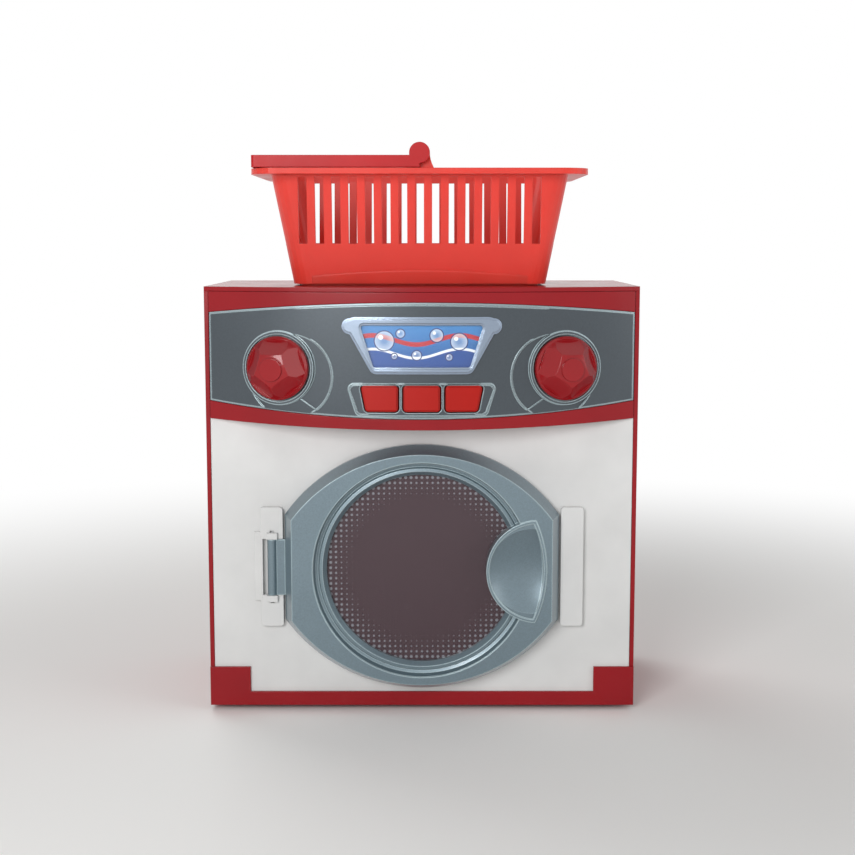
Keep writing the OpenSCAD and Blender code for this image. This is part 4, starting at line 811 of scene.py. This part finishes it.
class TOYWASHER_OT_electrics(Operator):
    """Circuit board, key pads, speaker and batteries"""
    bl_idname = "toywasher.electrics"
    bl_label = "Electrics"

    def execute(self, context):
        washer = context.scene.toy_washer
        # The mask is a thin even lacquer on the laminate, with a satin gloss
        board = injection_moulded(
            "Solder-masked glass laminate, green", linear("#1f6a3a"), 0.34, washer.shell)
        dress(board, "circuit_board")
        # Filled plastics: dull and nearly black
        black = injection_moulded("Moulded epoxy and nylon, black", linear("#26272a"), 0.45, washer.shell)
        dress(black, "board_parts", "battery_box")
        # Silicone and pressed paper are as dry to the eye as rubber
        dress(moulded_rubber("Moulded silicone, grey", linear("#a9a9a9")), "key_pads")
        dress(moulded_rubber("Pressed paper cone, black", linear("#202022")), "speaker")
        dress(self.woven_cloth(), "speaker_grille_cloth")
        dress(self.shrink_wrap(washer.inside.cells), "batteries")
        return {"FINISHED"}

    def woven_cloth(self):
        """Plain-woven acoustic cloth: threads a little apart that go over and under each other."""
        material, tree = new_material("Plain-woven acoustic cloth, black")
        place = add(tree, "ShaderNodeTexCoord")
        # Real threads are 0.3 mm apart, which is too fine to show, so they are drawn coarser
        thread = 0.9 * MM
        # A wave texture of scale 1 has a band every pi / 10 metres
        bands = math.pi / 10 / thread
        warp, weft = (
            add(tree, "ShaderNodeTexWave", {"Vector": place.outputs["Object"], "Scale": bands},
                bands_direction=direction)
            for direction in ("X", "Z"))
        weave = add(tree, "ShaderNodeMath", {
            0: warp.outputs["Fac"], 1: weft.outputs["Fac"]}, operation="MULTIPLY")
        surface = add(tree, "ShaderNodeBump", {
            "Height": weave.outputs[0], "Strength": 0.8, "Distance": 0.2 * MM})
        shader = add(tree, "ShaderNodeBsdfPrincipled", {
            "Base Color": rgba(linear("#17181a")), "Roughness": 0.9, "Sheen Weight": 0.3,
            "Normal": surface.outputs["Normal"]})
        add(tree, "ShaderNodeOutputMaterial", {"Surface": shader.outputs[0]})
        return material

    def shrink_wrap(self, colour):
        """PVC shrink wrap: a glossy sleeve with a gold band at one end, which leaves the steel ends bare."""
        material, tree = new_material("PVC shrink wrap over steel")
        bare_end, gold_end = 1.6 * MM, 14 * MM
        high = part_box("batteries")[1]
        place = add(tree, "ShaderNodeTexCoord")
        axes = add(tree, "ShaderNodeSeparateXYZ", {0: place.outputs["Object"]})
        away = add(tree, "ShaderNodeMath", {0: axes.outputs["X"]}, operation="ABSOLUTE")
        bare = add(tree, "ShaderNodeMath", {
            0: away.outputs[0], 1: high.x - bare_end}, operation="GREATER_THAN")
        band = add(tree, "ShaderNodeMath", {
            0: axes.outputs["X"], 1: high.x - gold_end}, operation="GREATER_THAN")
        sleeve = add(tree, "ShaderNodeMix", {
            "Factor": band.outputs[0], 6: rgba(colour), 7: rgba(linear("#c9a35a"))}, data_type="RGBA")
        base = add(tree, "ShaderNodeMix", {
            "Factor": bare.outputs[0], 6: sleeve.outputs[2], 7: rgba(linear("#b9bcc0"))}, data_type="RGBA")
        shader = add(tree, "ShaderNodeBsdfPrincipled", {
            "Base Color": base.outputs[2], "Metallic": bare.outputs[0], "Roughness": 0.25,
            "Coat Weight": 0.4})
        add(tree, "ShaderNodeOutputMaterial", {"Surface": shader.outputs[0]})
        return material


class TOYWASHER_OT_fixings(Operator):
    """Screws, clips, contacts and rubber feet"""
    bl_idname = "toywasher.fixings"
    bl_label = "Fixings and feet"

    def execute(self, context):
        # Zinc plating is duller than ground steel
        zinc = polished_metal("Zinc-plated steel", linear("#bfc3c7"), 0.4, 0.2 * MM)
        dress(zinc, "rear_screws", "board_screws", "gear_screws", "battery_screw",
              "knob_clip_left", "knob_clip_right", "battery_contacts")
        dress(moulded_rubber("Moulded foot rubber, charcoal", linear("#2c2d30")), "feet")
        return {"FINISHED"}


class TOYWASHER_OT_basket(Operator):
    """Laundry basket and its handle"""
    bl_idname = "toywasher.basket"
    bl_label = "Laundry basket"

    def execute(self, context):
        shell = context.scene.toy_washer.shell
        basket = context.scene.toy_washer.basket
        thin = self.moulded_polypropylene(
            "Injection-moulded polypropylene, translucent red", basket.red, 0.35, shell)
        dress(thin, "basket")
        for side, word in ((-1, "front"), (1, "back")):
            lofted("basket_skirt_" + word, self.foot_skirt(basket, side), thin, "basket", closed=False)
        solid = self.moulded_polypropylene(
            "Injection-moulded polypropylene, solid red", basket.handle, 0.08, shell)
        dress(solid, "basket_handle")
        return {"FINISHED"}

    def foot_skirt(self, basket, side):
        """The skirt along a long side's foot: it leans out to a soft lip and fades to the corners."""
        low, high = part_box("basket")
        middle_x, middle_y = (low.x + high.x) / 2, (low.y + high.y) / 2
        half_w = BASKET_FOOT[0] / 2 - BASKET_CORNER
        lean = (BASKET_BROW_DEPTH - BASKET_FOOT[1]) / 2 / BASKET_RISE
        rows = []
        for i in range(SKIRT_STEPS + 1):
            share = 2 * i / SKIRT_STEPS - 1
            height = basket.skirt + basket.arch * (1 - share * share)
            lip = basket.lip * (1 - share ** 4)
            face = [(rise, proud * lip) for rise, proud in SKIRT_PROFILE]
            row = []
            for rise, offset in [(0, -SKIRT_SUNK), *face, (1, -SKIRT_SUNK)]:
                up = BASKET_GAP + rise * height
                out = BASKET_FOOT[1] / 2 + lean * up + offset
                row.append((middle_x + share * half_w, middle_y + side * out, low.z + up))
            rows.append(row)
        return rows

    def moulded_polypropylene(self, name, colour, glow, shell):
        """Polypropylene with a waxy sheen: where it is thin, light comes through and warms its shadows."""
        material, tree = new_material(name)
        shader = add(tree, "ShaderNodeBsdfPrincipled", {
            "Base Color": varied_colour(tree, colour, period=25 * MM),
            "Roughness": uneven(tree, period=15 * MM, low=0.3, high=0.42),
            "IOR": 1.49, "Specular IOR Level": 0.28, "Subsurface Weight": glow,
            "Subsurface Radius": (1.0, 0.25, 0.2), "Subsurface Scale": 3 * MM,
            "Normal": moulded_surface(tree, shell.grain, 0.01 * MM, shell.edge)})
        add(tree, "ShaderNodeOutputMaterial", {"Surface": shader.outputs[0]})
        return material


STEPS = (
    TOYWASHER_OT_studio, TOYWASHER_OT_cabinet, TOYWASHER_OT_front, TOYWASHER_OT_slate, TOYWASHER_OT_display,
    TOYWASHER_OT_controls, TOYWASHER_OT_window, TOYWASHER_OT_drum, TOYWASHER_OT_drive,
    TOYWASHER_OT_electrics, TOYWASHER_OT_fixings, TOYWASHER_OT_basket)


class TOYWASHER_PT_sidebar(Panel):
    """Lists the pieces that can be dressed"""
    bl_idname = "TOYWASHER_PT_sidebar"
    bl_label = "Toy Washer"
    bl_space_type = "VIEW_3D"
    bl_region_type = "UI"
    bl_category = "Toy Washer"

    def draw(self, context):
        for operator in STEPS:
            self.layout.operator(operator.bl_idname)


CLASSES = (
    ShellSettings, ControlSettings, DisplaySettings, WindowSettings, BasketSettings, InsideSettings,
    StudioSettings, ToyWasherSettings) + STEPS + (TOYWASHER_PT_sidebar,)


def register():
    for cls in CLASSES:
        bpy.utils.register_class(cls)
    bpy.types.Scene.toy_washer = PointerProperty(type=ToyWasherSettings)


def unregister():
    del bpy.types.Scene.toy_washer
    for cls in reversed(CLASSES):
        bpy.utils.unregister_class(cls)


def main():
    register()
    bpy.context.scene.view_settings.view_transform = "Standard"
    bpy.ops.toywasher.studio()
    bpy.ops.toywasher.cabinet()
    bpy.ops.toywasher.front()
    bpy.ops.toywasher.slate()
    bpy.ops.toywasher.display()
    bpy.ops.toywasher.controls()
    bpy.ops.toywasher.window()
    bpy.ops.toywasher.drum()
    bpy.ops.toywasher.drive()
    bpy.ops.toywasher.electrics()
    bpy.ops.toywasher.fixings()
    bpy.ops.toywasher.basket()


if __name__ == "__main__":
    main()
